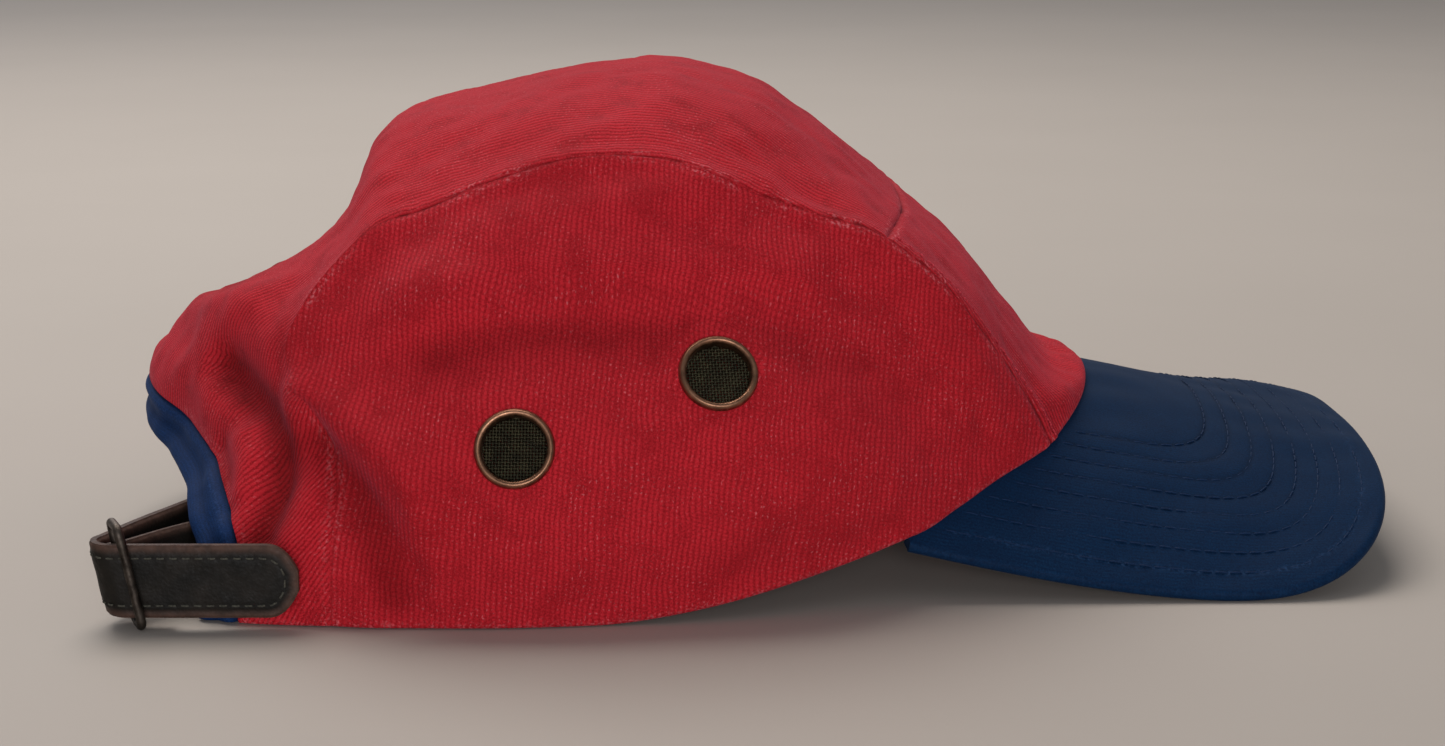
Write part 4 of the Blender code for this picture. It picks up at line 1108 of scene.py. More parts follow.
NAVY_THREAD = ThreadFinish("navy polyester thread", roughness=0.6, light="#102a4b",
                           dark="#0d213d")
RED_THREAD = ThreadFinish("red polyester thread", roughness=0.6, light="#c8404c",
                          dark="#8e1a24")
PAINTED_BOARD = FloorFinish("pale painted board", roughness=0.7)


class Workshop:
    """Makes meshes into finished pieces of the cap."""

    def __init__(self, shift: Array) -> None:
        """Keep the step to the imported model's place."""
        self.shift = shift
        self.materials: dict[str, bpy.types.Material] = {}

    def material(self, finish: Any) -> bpy.types.Material:
        """The material of a finish, made once."""
        if finish.name not in self.materials:
            self.materials[finish.name] = finish.make()
        return self.materials[finish.name]

    def mesh(self, name: str, points: Array, faces: list[Any], finish: Any,
             flat: Array | None = None,
             marks: dict[str, Array] | None = None) -> bpy.types.Object:
        """Make one smooth closed object.

        Args:
            name: the object's name.
            points: its points, measured from the back of the crown.
            faces: its faces, as rows of point numbers.
            finish: its finish.
            flat: where each point lies in the flat cloth, in metres.
            marks: other values at each point, by name.

        Returns:
            The object.
        """
        mesh = bpy.data.meshes.new(name)
        rows = [tuple(int(corner) for corner in face) for face in faces]
        mesh.from_pydata((points + self.shift).tolist(), [], rows)
        if self.inside_out(points, rows):
            mesh.flip_normals()
        corner = np.zeros(len(mesh.loops), int)
        mesh.loops.foreach_get("vertex_index", corner)
        if flat is not None:
            layer = mesh.uv_layers.new(name="flat")
            layer.data.foreach_set("uv", flat[corner].astype(np.float32).ravel())
        for key, values in (marks or {}).items():
            mark = mesh.attributes.new(key, "FLOAT", "POINT")
            mark.data.foreach_set("value", np.asarray(values, np.float32))
        mesh.materials.append(self.material(finish))
        mesh.shade_smooth()
        mesh.set_sharp_from_angle(angle=math.radians(CRISP_FROM))
        return new_object(name, mesh)

    @staticmethod
    def inside_out(points: Array, rows: list[tuple[int, ...]]) -> bool:
        """Whether a closed mesh's faces point inwards."""
        volume = 0.0
        quads = np.array([row for row in rows if len(row) == 4])
        for a, b, c in ((0, 1, 2), (0, 2, 3)):
            p, q, r = (points[quads[:, k]] for k in (a, b, c))
            volume += np.einsum("ij,ij->i", p, np.cross(q, r)).sum()
        return volume < 0

    def shell(self, name: str, panel: Panel, outer: Array, inner: Array, finish: Any,
              marks: dict[str, Array]) -> bpy.types.Object:
        """Close the two faces of a panel into one body.

        Args:
            name: the object's name.
            panel: the panel whose faces they follow.
            outer: points of the outer face.
            inner: points of the inner face.
            finish: the finish.
            marks: values at the points, by name.

        Returns:
            The object.
        """
        under = panel.faces[:, ::-1] + len(outer)
        edges = panel.border()
        walls = np.stack([edges[:, 1], edges[:, 0], edges[:, 0] + len(outer),
                          edges[:, 1] + len(outer)], -1)
        faces = np.concatenate([panel.faces, under, walls])
        used = np.zeros(2 * len(outer), bool)
        used[faces] = True
        number = np.cumsum(used) - 1
        points = np.concatenate([outer, inner])[used]
        both = {key: np.concatenate([values, values])[used] for key, values in marks.items()}
        flat = np.concatenate([panel.flat, panel.flat])[used]
        return self.mesh(name, points, number[faces].tolist(), finish, flat, both)

    def loft(self, name: str, loops: Array, finish: Any, closed: bool = False,
             flat: Array | None = None,
             marks: dict[str, Array] | None = None) -> bpy.types.Object:
        """Skin a row of loops with the same number of points.

        Args:
            name: the object's name.
            loops: the loops, in order.
            finish: the finish.
            closed: whether the last loop joins the first.
            flat: where each point lies in the flat cloth, in metres.
            marks: values at the points, by name.

        Returns:
            The object.
        """
        index = np.arange(loops[..., 0].size).reshape(loops.shape[:2])
        rows = np.vstack([index, index[:1]]) if closed else index
        faces = grid_faces(np.hstack([rows, rows[:, :1]]), turned=True).tolist()
        if not closed:
            faces += [index[0][::-1].tolist(), index[-1].tolist()]
        return self.mesh(name, loops.reshape(-1, 3), faces, finish, flat, marks)

    def finish_piece(self, thing: bpy.types.Object, slot: Slot, *nodes: str) -> None:
        """Hang a piece on the cap's body and hide the solids that it stands for."""
        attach(thing, "root")
        if nodes:
            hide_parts(*nodes)
        LOG.info("%s: %d faces", thing.name, len(thing.data.polygons))


@dataclass
class NodeGroup(Nodes):
    """A Geometry Nodes tree that makes a piece from a guide, some numbers and a material."""

    sockets: dict[str, str]
    given: Any

    @classmethod
    def start(cls, name: str, numbers: tuple[str, ...]) -> "NodeGroup":
        """Start a tree.

        Args:
            name: the tree's name.
            numbers: the names of its number inputs.

        Returns:
            The tree with its inputs, and their identifiers by name.
        """
        tree = bpy.data.node_groups.new(name, "GeometryNodeTree")
        kinds = {"Geometry": "Geometry", **dict.fromkeys(numbers, "Float"),
                 "Material": "Material"}
        sockets = {}
        for key, kind in kinds.items():
            socket = tree.interface.new_socket(key, in_out="INPUT",
                                               socket_type=f"NodeSocket{kind}")
            sockets[key] = socket.identifier
        tree.interface.new_socket("Geometry", in_out="OUTPUT",
                                  socket_type="NodeSocketGeometry")
        return cls(tree, sockets, tree.nodes.new("NodeGroupInput").outputs)

    def tube(self, curve: Any, width: Any, sides: int) -> Any:
        """Round tubes of a width along curves."""
        ring = self.node("GeometryNodeCurvePrimitiveCircle",
                         {"Resolution": sides, "Radius": self.math("MULTIPLY", width, 0.5)})
        return self.node("GeometryNodeCurveToMesh",
                         {"Curve": curve, "Profile Curve": ring, "Fill Caps": True})

    def end(self, geometry: Any) -> None:
        """End the tree with smooth, real geometry in its material."""
        smooth = self.node("GeometryNodeSetShadeSmooth", {"Geometry": geometry})
        real = self.node("GeometryNodeRealizeInstances", {0: smooth})
        dressed = self.node("GeometryNodeSetMaterial",
                            {"Geometry": real, "Material": self.given["Material"]})
        self.fill(self.tree.nodes.new("NodeGroupOutput"), {0: dressed})

    def run(self, name: str, mesh: bpy.types.Mesh, values: dict[str, Any],
            place: Matrix | None = None) -> bpy.types.Object:
        """Run the tree on a guide, which is removed, and keep the result as a plain mesh.

        Args:
            name: the new object's name.
            mesh: the guide's mesh.
            values: the tree's inputs by name.
            place: where to put the result.

        Returns:
            The new object.
        """
        guide = new_object(f"{name}_guide", mesh)
        layer = guide.modifiers.new(self.tree.name, "NODES")
        layer.node_group = self.tree
        for key, value in values.items():
            layer[self.sockets[key]] = value
        graph = bpy.context.evaluated_depsgraph_get()
        made = bpy.data.meshes.new_from_object(guide.evaluated_get(graph))
        made.name = name
        if place is not None:
            made.transform(place)
        guide.modifiers.clear()
        bpy.data.objects.remove(guide, do_unlink=True)
        return new_object(name, made)


@dataclass(frozen=True)
class StitchRow:
    """A run of stitches: Geometry Nodes lay one short bent thread at each step of a line."""

    pitch: float
    length: float
    thread: float
    sink: float = 0.00012
    rise: float = 0.00030
    sides: int = 6
    bends: int = 5

    def group(self) -> NodeGroup:
        """Build the node tree that lays the stitches."""
        group = NodeGroup.start("stitches along a line",
                                ("Pitch", "Length", "Thread", "Sink", "Rise"))
        given = group.given
        line = group.node("GeometryNodeMeshToCurve", {0: given["Geometry"]})
        spaced = group.node("GeometryNodeResampleCurve",
                            {"Curve": line, "Length": given["Pitch"]}, mode="LENGTH")
        up = group.node("GeometryNodeInputNamedAttribute", {"Name": "up"},
                        data_type="FLOAT_VECTOR")
        along = group.node("FunctionNodeAlignRotationToVector",
                           {"Vector": group.node("GeometryNodeInputTangent")}, axis="X")
        turned = group.node("FunctionNodeAlignRotationToVector",
                            {"Rotation": along, "Vector": up}, axis="Z", pivot_axis="X")
        half = group.math("MULTIPLY", given["Length"], 0.5)
        back = group.math("MULTIPLY", half, -1.0)
        low = group.math("MULTIPLY", given["Sink"], -1.0)
        arc = group.node("GeometryNodeCurveQuadraticBezier",
                         {"Resolution": self.bends, "Start": group.vector(X=back, Z=low),
                          "Middle": group.vector(Z=given["Rise"]),
                          "End": group.vector(X=half, Z=low)})
        thread = group.tube(arc, given["Thread"], self.sides)
        group.end(group.node("GeometryNodeInstanceOnPoints",
                             {"Points": spaced, "Instance": thread, "Rotation": turned}))
        return group

    def sew(self, shop: Workshop, name: str, lines: list[tuple[Array, Array]],
            finish: Any) -> bpy.types.Object:
        """Lay the stitches along lines.

        Args:
            shop: the workshop, which knows the model's place.
            name: the object's name.
            lines: for each line its points and the directions out of the cloth there.
            finish: the thread's finish.

        Returns:
            The stitches as one plain mesh.
        """
        points = np.concatenate([line for line, _ in lines]) + shop.shift
        ups = np.concatenate([up for _, up in lines])
        edges = []
        start = 0
        for line, _ in lines:
            edges += [(i, i + 1) for i in range(start, start + len(line) - 1)]
            start += len(line)
        mesh = bpy.data.meshes.new(f"{name}_guide")
        mesh.from_pydata(points.tolist(), edges, [])
        mark = mesh.attributes.new("up", "FLOAT_VECTOR", "POINT")
        mark.data.foreach_set("vector", ups.astype(np.float32).ravel())
        values = {"Pitch": self.pitch, "Length": self.length, "Thread": self.thread,
                  "Sink": self.sink, "Rise": self.rise, "Material": shop.material(finish)}
        return self.group().run(name, mesh, values)


@dataclass
class Crown:
    """The four red panels: front, top with its run down the back, and two sides."""

    form: CrownForm
    cells: int = 14
    across_cells: int = 120
    surround_cells_in: int = 20
    cutting_cells: int = 6
    half_cutting: int = 30
    side_slant: float = 0.08
    tied: float = 0.0030
    crease: Rise = Rise(-0.00044, 0.0, 0.00055)
    roll: Rise = Rise(0.00022, 0.0022, 0.0014)
    pucker: Waves = Waves(0.45, 0.0042, 3)
    pucker_span: Span = (0.2, 2.0)
    soft_seam: Span = (0.22, 0.32)
    soft_seam_share: float = 0.12
    soft_seam_fill: float = 0.0035
    soft_seam_steepest: float = 0.5
    plain_seam: Span = (0.80, 0.90)
    plain_seam_share: float = 0.6
    allowance: Span = (0.0060, 0.0080)
    allowance_rise: float = 0.0006
    allowance_from_edge: float = 0.0040
    edge_round: float = 0.0009
    ripple: Waves = Waves(0.00022, 0.021, 5)
    waver: Waves = Waves(0.00010, 0.0075, 8)
    calm_by_seam: float = 0.0060
    calm_by_edge: float = 0.0050
    eyelet_bed: Rise = Rise(-0.00030, 0.0077, 0.0010)
    bed_calm: Span = (0.0080, 0.0125)
    bed_reach: float = 0.03
    hole: float = 0.0066
    seam_wear: Rise = Rise(0.45, 0.0011, 0.0006)
    seam_wear_waves: Waves = Waves(0.5, 0.012, 11)
    edge_wear: Rise = Rise(0.3, 0.0, 0.0010)
    seam_shade: Rise = Rise(0.55, 0.0, 0.00045)
    hollow_shade: float = 0.72
    hollow_depth: float = 0.0025
    topstitch: StitchRow = StitchRow(pitch=0.0026, length=0.0019, thread=0.00042)
    topstitch_rows: Span = (0.25, 4.85)
    topstitch_points: int = 120
    topstitch_from_seam: float = 0.055
    topstitch_height: float = 0.00035

    def rows(self, start: float, stop: float) -> Array:
        """Fractional sections between two of them, closer together at both."""
        count = int(abs(stop - start)) * self.cells
        return start + (stop - start) * clustered(count)

    def cutting(self) -> tuple[Array, Array, Array, Array]:
        """A table of where the strip's points lie in the flat cloth.

        Returns:
            Section rows, places across, and the flat measures across and along.
        """
        middle = self.half_cutting
        rows = np.linspace(0, LAST_SECTION, LAST_SECTION * self.cutting_cells + 1)
        across = np.linspace(-1, 1, 2 * middle + 1)
        points = self.form.strip_surface(rows[:, None], across)
        over = np.array([run_length(line) for line in points])
        return rows, across, over - over[:, middle:middle + 1], run_length(points[:, middle])

    def flat_strip(self, row: Array, across: Array) -> Array:
        """Where points of the strip lie in the flat cloth, in metres."""
        rows, places, over, down = self.cutting()
        row, across = np.broadcast_arrays(row, across)
        r = np.interp(row, rows, np.arange(len(rows)))
        a = np.interp(across, places, np.arange(len(places)))
        i = np.minimum(r.astype(int), len(rows) - 2)
        j = np.minimum(a.astype(int), len(places) - 2)
        flat = blend(a - j, blend(r - i, over[i, j], over[i + 1, j]),
                     blend(r - i, over[i, j + 1], over[i + 1, j + 1]))
        return np.stack([flat, np.interp(row, rows, down)], -1)

    def surround(self) -> tuple[Array, Array]:
        """Rows and places across of the strip from its seams and last full row to the arch."""
        up = self.rows(LAST_SECTION, REAR_CORNER)
        over = (2 * clustered(self.across_cells) - 1)[1:-1]
        row = np.concatenate([up, np.full_like(over, REAR_CORNER), up[::-1]])
        across = np.concatenate([np.full_like(up, -1), over, np.full_like(up, 1)])
        arch_row, arch_place = self.form.arch_line(0.0, len(row) - 1,
                                                   self.form.cloth_arch_power)
        share = clustered(self.surround_cells_in)[:, None]
        return row + (arch_row - row) * share, across + (arch_place - across) * share

    def panels(self, frames: dict[str, tuple[Array, Array]]) -> dict[str, Panel]:
        """Cut the panels.

        Args:
            frames: centre and direction of each eyelet.

        Returns:
            The panels by name.
        """
        form, middle = self.form, self.form.middle
        across = 2 * clustered(self.across_cells) - 1
        front = self.rows(0, FRONT_CORNER)[:, None]
        top = self.rows(FRONT_CORNER, REAR_CORNER)[:, None]
        row, place = self.surround()
        around = form.strip_surface(row, place)
        crown_back = form.strip_surface(top, across)
        found = {
            "front_panel": Panel.from_grids([form.strip_surface(front, across)],
                                            [self.flat_strip(front, across)], middle),
            "top_panel": Panel.from_grids([crown_back, around],
                                          [self.flat_strip(top, across),
                                           self.flat_strip(row, place)], middle),
        }
        station = clustered((REAR_CORNER - FRONT_CORNER) * self.cells)[:, None]
        height = clustered(FRONT_CORNER * self.cells)[None, :]
        for side in Side:
            grid = form.side_surface(station, height, side, frames)
            up = grid[..., 2]
            flat = np.stack([grid[..., 0] - self.side_slant * up, up], -1)
            found[f"side_panel_{side.word}"] = Panel.from_grids([grid], [flat], middle)
        return found

    def draped(self, panel: Panel, seams: Seams, beds: list[tuple[Array, Array]],
               ) -> tuple[Array, Array, dict[str, Array]]:
        """Give a panel its creased seams, small waves and thickness.

        Args:
            panel: the panel.
            seams: where it is sewn and where it is free.
            beds: centre and direction of the eyelets that lie on it.

        Returns:
            Outer and inner points, and the marks for the finish.
        """
        form, points = self.form, panel.points
        from_seam, from_edge = seams.from_seam, seams.from_edge
        along = seams.seam_point[:, 0] / form.length
        normal = seams.directions(panel, self.tied)
        tight = np.clip(1 + self.pucker.at(seams.seam_point), *self.pucker_span)
        firm = blend(fade(along, *self.soft_seam), self.soft_seam_share, 1.0)
        worn = 1 - self.plain_seam_share * fade(along, *self.plain_seam)
        steep = np.clip(seams.seam_rise, 0, self.soft_seam_steepest)
        lift = firm * (worn * self.crease.at(from_seam) + tight * self.roll.at(from_seam))
        lift += (1 - firm) * steep * (np.hypot(from_seam, self.soft_seam_fill) - from_seam)
        loose = fade(from_seam, 0.0, self.calm_by_seam)
        loose *= fade(from_edge, 0.0, self.calm_by_edge)
        folds = form.crease_rise(points) * fade(from_edge, 0.0, form.firm_edge)
        for centre, axis in beds:
            off = points - centre
            radius = np.linalg.norm(off - (off @ axis)[:, None] * axis, axis=-1)
            near = np.linalg.norm(off, axis=-1) <= self.bed_reach
            free = np.where(near, fade(radius, *self.bed_calm), 1.0)
            loose, folds = loose * free, folds * free
            lift += np.where(near, self.eyelet_bed.at(radius), 0.0)
        lift += (self.ripple.at(points) + self.waver.at(points)) * loose + folds
        ridge = self.allowance_rise * (1 - fade(from_seam, *self.allowance))
        ridge *= fade(from_edge, 0.0, self.allowance_from_edge)
        outer, inner = seams.layers(points + normal * lift[:, None], normal, form.wall,
                                    self.edge_round, ridge)
        wear = worn * self.seam_wear.at(from_seam)
        wear *= np.clip(0.5 + self.seam_wear_waves.at(seams.seam_point), 0, 1)
        wear += self.edge_wear.at(from_edge)
        shade = firm * tight * self.seam_shade.at(from_seam)
        shade += self.hollow_shade * np.clip(-folds / self.hollow_depth, 0, 1)
        return outer, inner, {"wear": np.clip(wear, 0, 1), "shade": np.clip(shade, 0, 1)}

    def pierced(self, panel: Panel, layers: tuple[Array, Array],
                beds: list[tuple[Array, Array]]) -> Panel:
        """Open the holes that the eyelets sit in, and draw their edges to a true circle.

        Args:
            panel: the panel.
            layers: its outer and inner points, which are moved to the holes' edges.
            beds: centre and direction of the eyelets.

        Returns:
            The panel without the faces in the holes.
        """
        faces = panel.faces
        for centre, axis in beds:
            far = np.linalg.norm(panel.points[faces].mean(1) - centre, axis=-1)
            faces = faces[far > self.hole]
            rim = np.unique(border_edges(faces, len(panel.points)))
            rim = rim[np.linalg.norm(panel.points[rim] - centre, axis=-1) < 2 * self.hole]
            for layer in layers:
                off = layer[rim] - centre
                above = (off @ axis)[:, None] * axis
                layer[rim] = centre + above + unit(off - above) * self.hole
        return Panel(panel.points, faces, panel.flat)

    def build(self, shop: Workshop, panels: dict[str, Panel], seams: dict[str, Seams],
              frames: dict[str, tuple[Array, Array]]) -> None:
        """Make and dress the panels.

        Args:
            shop: the workshop.
            panels: all panels of the cap.
            seams: their seams.
            frames: centre and direction of each eyelet.
        """
        for name in [key for key in panels if "panel" in key]:
            panel = panels[name]
            beds = [place for key, place in frames.items()
                    if name.startswith("side") and key.endswith(name.rsplit("_", 1)[1])]
            outer, inner, marks = self.draped(panel, seams[name], beds)
            cut = self.pierced(panel, (outer, inner), beds)
            finish = RED_TWILL if name.startswith("side") else TOP_TWILL
            thing = shop.shell(f"{name}_cloth", cut, outer, inner, finish, marks)
            shop.finish_piece(thing, Slot.RED_CLOTH, name)

    def sew_front(self, shop: Workshop) -> None:
        """Sew the row of small stitches beside the front seams."""
        lines = []
        row = np.linspace(*self.topstitch_rows, self.topstitch_points)
        for side in Side:
            across = side.value * (1 - self.topstitch_from_seam)
            points, beside = (
                self.form.strip_surface(row, np.full_like(row, across - side.value * step))
                for step in (0.0, BESIDE))
            up = unit(np.cross(np.gradient(points, axis=0), beside - points))
            up *= np.where(up[:, :1] < 0, -1, 1)
            lines.append((points + up * self.topstitch_height, up))
        thing = self.topstitch.sew(shop, "front_seam_stitches", lines, RED_THREAD)
        shop.finish_piece(thing, Slot.RED_CLOTH)


@dataclass
class ArchBand:
    """The folded blue band round the opening at the back. Its rolls and its fold lie at
    shares of its width."""

    form: CrownForm
    cells_in: int = 26
    cluster: float = 0.45
    thickness: float = 0.0022
    edge_round: float = 0.0012
    tied: float = 0.0020
    seam_dip: Rise = Rise(-0.00095, 0.0, 0.00085)
    rolls: tuple[Rise, ...] = (Rise(0.00060, 0.24, 0.16), Rise(-0.00015, 0.52, 0.12),
                               Rise(0.00045, 0.80, 0.17))
    waver: Waves = Waves(0.00008, 0.011, 21)
    calm_by_seam: float = 0.0030
    wear: Rise = Rise(0.15, 0.24, 0.10)
    seam_shade: Rise = Rise(0.85, 0.0, 0.0007)
    fold_shade: Rise = Rise(0.25, 0.55, 0.09)

    def panel(self, cells: int) -> Panel:
        """Cut the band.

        Args:
            cells: number of cells round the arch, as in the cloth beside it.

        Returns:
            The band from its outer to its inner edge.
        """
        form = self.form
        lines, flats = [], []
        for inset in form.binding_width * clustered(self.cells_in, self.cluster):
            line = form.strip_surface(*form.arch_line(inset, cells, form.cloth_arch_power))
            run = run_length(line)
            lines.append(line)
            flats.append(np.stack([np.full_like(run, inset), run - run[-1] / 2], -1))
        return Panel.from_grids([np.array(lines)], [np.array(flats)], form.middle)

    def build(self, shop: Workshop, panel: Panel, seams: Seams) -> None:
        """Make and dress the band.

        Args:
            shop: the workshop.
            panel: the band.
            seams: where it is sewn and free.
        """
        form, points = self.form, panel.points
        normal = seams.directions(panel, self.tied)
        inset = panel.flat[:, 0] / form.binding_width
        lift = self.seam_dip.at(seams.from_seam) + sum(roll.at(inset) for roll in self.rolls)
        lift += fade(seams.from_seam, 0.0, self.calm_by_seam) * self.waver.at(points)
        lift += form.crease_rise(points) * fade(seams.from_edge, 0.0, form.firm_edge)
        outer, inner = seams.layers(points + normal * lift[:, None], normal, self.thickness,
                                    self.edge_round)
        shade = self.seam_shade.at(seams.from_seam) + self.fold_shade.at(inset)
        marks = {"wear": self.wear.at(inset), "shade": np.clip(shade, 0, 1)}
        thing = shop.shell("arch_binding_cloth", panel, outer, inner, BINDING_TWILL, marks)
        shop.finish_piece(thing, Slot.BLUE_CLOTH, "arch_binding")


@dataclass
class Visor:
    """The visor: a covered board with rows of stitching that follow its edge."""

    form: CrownForm
    thickness: float = 0.0027
    corner_power: float = 3.3
    square_length: float = 0.0582
    tuck: float = 0.0012
    half_cells: int = 150
    cells_out: int = 104
    edge_points: int = 300
    root_points: Span = (60, 120)
    slope_step: float = 0.0001
    rim_points: int = 9
    rim_turn: float = 72.0
    first_row: float = 0.0050
    row_pitch: float = 0.0044
    rows: int = 8
    shortest: float = 0.0008
    rounding: int = 4
    groove: Rise = Rise(0.00012, 0.0, 0.00070)
    outer_groove: float = 0.4
    inner_from: float = 0.5
    pillow: Waves = Waves(0.00010, 0.016, 33)
    under_pillow: Waves = Waves(0.00005, 0.018, 35)
    pillow_from_edge: Span = (0.001, 0.004)
    row_shade: Rise = Rise(0.40, 0.0, 0.0005)
    outer_shade: float = 0.05
    row_wear: Rise = Rise(0.30, 0.0, 0.0006)
    row_wear_span: Span = (0.3, 0.8)
    rim_wear: float = 0.06
    stitches: StitchRow = StitchRow(pitch=0.0030, length=0.0023, thread=0.00036, rise=0.00016)
    stitch_lift: float = 0.2

    def outline(self, count: int) -> Array:
        """Right half of the visor's edge in plan, from the crown to the front."""
        form = self.form
        corner = RIM[VISOR_CORNER][0] * form.length
        widest = corner + self.square_length
        angle = np.linspace(0, math.pi / 2, self.edge_points)
        reach = form.length + form.visor_reach - widest
        x = widest + reach * np.sin(angle) ** (2 / self.corner_power)
        y = -form.visor_half_width * np.cos(angle) ** (2 / self.corner_power)
        start = -RIM[VISOR_CORNER][1] * form.half_width - self.thickness / 2
        return even_points(np.vstack([[corner, start], np.stack([x, y], -1)]), count)

    def root(self) -> Array:
        """Right half of the line in plan where the crown stands on the visor."""
        corner = VISOR_CORNER / (len(RIM) - 1)
        on_side, on_front = self.root_points
        side = self.form.rim_point(np.linspace(corner, 0, on_side), -1.0)[:, :2]
        across = np.linspace(-1, 0, on_front)
        front = self.form.strip_point(np.zeros_like(across), across)[:, :2]
        return even_points(np.vstack([side, front[1:]]), self.half_cells)

    def lift(self, plan: Array) -> Array:
        """Put points in plan on the visor's upper surface."""
        z = self.form.visor_top(plan[..., 0], plan[..., 1])
        return np.concatenate([plan, z[..., None]], -1)

    def normal(self, plan: Array) -> Array:
        """Upward directions of the visor's upper surface."""
        x, y = plan[..., 0], plan[..., 1]
        top, step = self.form.visor_top, self.slope_step
        slope_x = (top(x + step, y) - top(x - step, y)) / (2 * step)
        slope_y = (top(x, y + step) - top(x, y - step)) / (2 * step)
        return unit(np.stack([-slope_x, -slope_y, np.ones_like(x)], -1))

    def build(self, shop: Workshop) -> None:
        """Make the covered board and its stitches.

        Args:
            shop: the workshop.
        """
        root = mirrored_line(self.root())
        edge = mirrored_line(self.outline(self.half_cells))
        outward = plan_normal(edge)
        radius = self.thickness / 2
        inset = edge - outward * radius
        share = np.linspace(0, 1, self.cells_out + 1)[None, :, None]
        tucked = root - plan_normal(root) * self.tuck
        plan = np.concatenate([tucked[:, None],
                               blend(share, root[:, None], inset[:, None])], 1)
        places = on_floor(plan.reshape(-1, 2))
        from_edge = nearest(places, on_floor(edge))[0].reshape(plan.shape[:2])
        top, normal = self.lift(plan), self.normal(plan)
        rows = self.row_lines(plan[:, 1:], from_edge[:, 1:])
        off = nearest(places, on_floor(np.vstack(rows)))[0].reshape(plan.shape[:2])
        number = (from_edge - self.first_row) / self.row_pitch
        inner_rows = fade(number, self.inner_from, self.rows - 1.0)
        bed = blend(inner_rows, self.outer_groove, 1.0) * self.groove.at(off)
        rise = self.pillow.at(top) * fade(from_edge, *self.pillow_from_edge)
        upper = top + normal * (rise - bed)[..., None]
        below = top - normal * (self.thickness - 0.5 * bed)[..., None]
        below += normal * self.under_pillow.at(top)[..., None]
        rim, rim_normal = top[:, -1], normal[:, -1]
        upper[:, -1], below[:, -1] = rim, rim - rim_normal * self.thickness
        ahead = self.lift(inset + outward * radius) - rim
        ahead = unit(ahead - (ahead * rim_normal).sum(-1, keepdims=True) * rim_normal)
        turn = np.radians(np.linspace(self.rim_turn, -self.rim_turn, self.rim_points))
        bulge = [rim - rim_normal * radius
                 + radius * (math.cos(a) * ahead + math.sin(a) * rim_normal) for a in turn]
        loops = np.concatenate([upper, np.stack(bulge, 1), below[:, ::-1]], 1)
        flat = np.stack([loops[..., 1], loops[..., 0]], -1).reshape(-1, 2)
        on_top = plan.shape[1]
        shade, wear = np.zeros(loops.shape[:2]), np.zeros(loops.shape[:2])
        shade[:, :on_top] = (self.outer_shade + inner_rows) * self.row_shade.at(off)
        wear[:, :on_top] = self.row_wear.at(off) * (1 - fade(number, *self.row_wear_span))
        wear[:, on_top:on_top + self.rim_points] = self.rim_wear
        thing = shop.loft("visor_cloth", loops, BLUE_TWILL, flat=flat,
                          marks={"shade": shade.reshape(-1), "wear": wear.reshape(-1)})
        shop.finish_piece(thing, Slot.BLUE_CLOTH, "visor")
        self.sew_rows(shop, rows)

    def row_lines(self, plan: Array, from_edge: Array) -> list[Array]:
        """Plan lines of the stitch rows, each rounder at its corners than the one outside it.

        Args:
            plan: the visor's points in plan, spoke by spoke from the crown outwards.
            from_edge: how far each lies from the visor's edge.

        Returns:
            One line of points for each row.
        """
        rows = []
        for number in range(self.rows):
            target = self.first_row + number * self.row_pitch
            run = []
            for spoke, reach in zip(plan, from_edge):
                if reach[0] > target + self.shortest:
                    place = np.interp(-target, -reach, np.arange(len(reach)))
                    i = min(int(place), len(reach) - 2)
                    run.append(spoke[i] * (i + 1 - place) + spoke[i + 1] * (place - i))
            line = np.array(run)
            count = int(run_length(line)[-1] / MM)
            line = even_points(line, count)
            for _ in range(self.rounding * number ** 2):
                line[1:-1] = (line[:-2] + 2 * line[1:-1] + line[2:]) / 4
            rows.append(even_points(line, 2 * count))
        return rows

    def sew_rows(self, shop: Workshop, rows: list[Array]) -> None:
        """Sew the rows that follow the visor's edge.

        Args:
            shop: the workshop.
            rows: their lines in plan.
        """
        depth = self.groove.height - self.stitches.thread * self.stitch_lift
        ups = [self.normal(row) for row in rows]
        lines = [(self.lift(row) - up * depth, up) for row, up in zip(rows, ups)]
        thing = self.stitches.sew(shop, "visor_stitches", lines, NAVY_THREAD)
        shop.finish_piece(thing, Slot.BLUE_CLOTH)


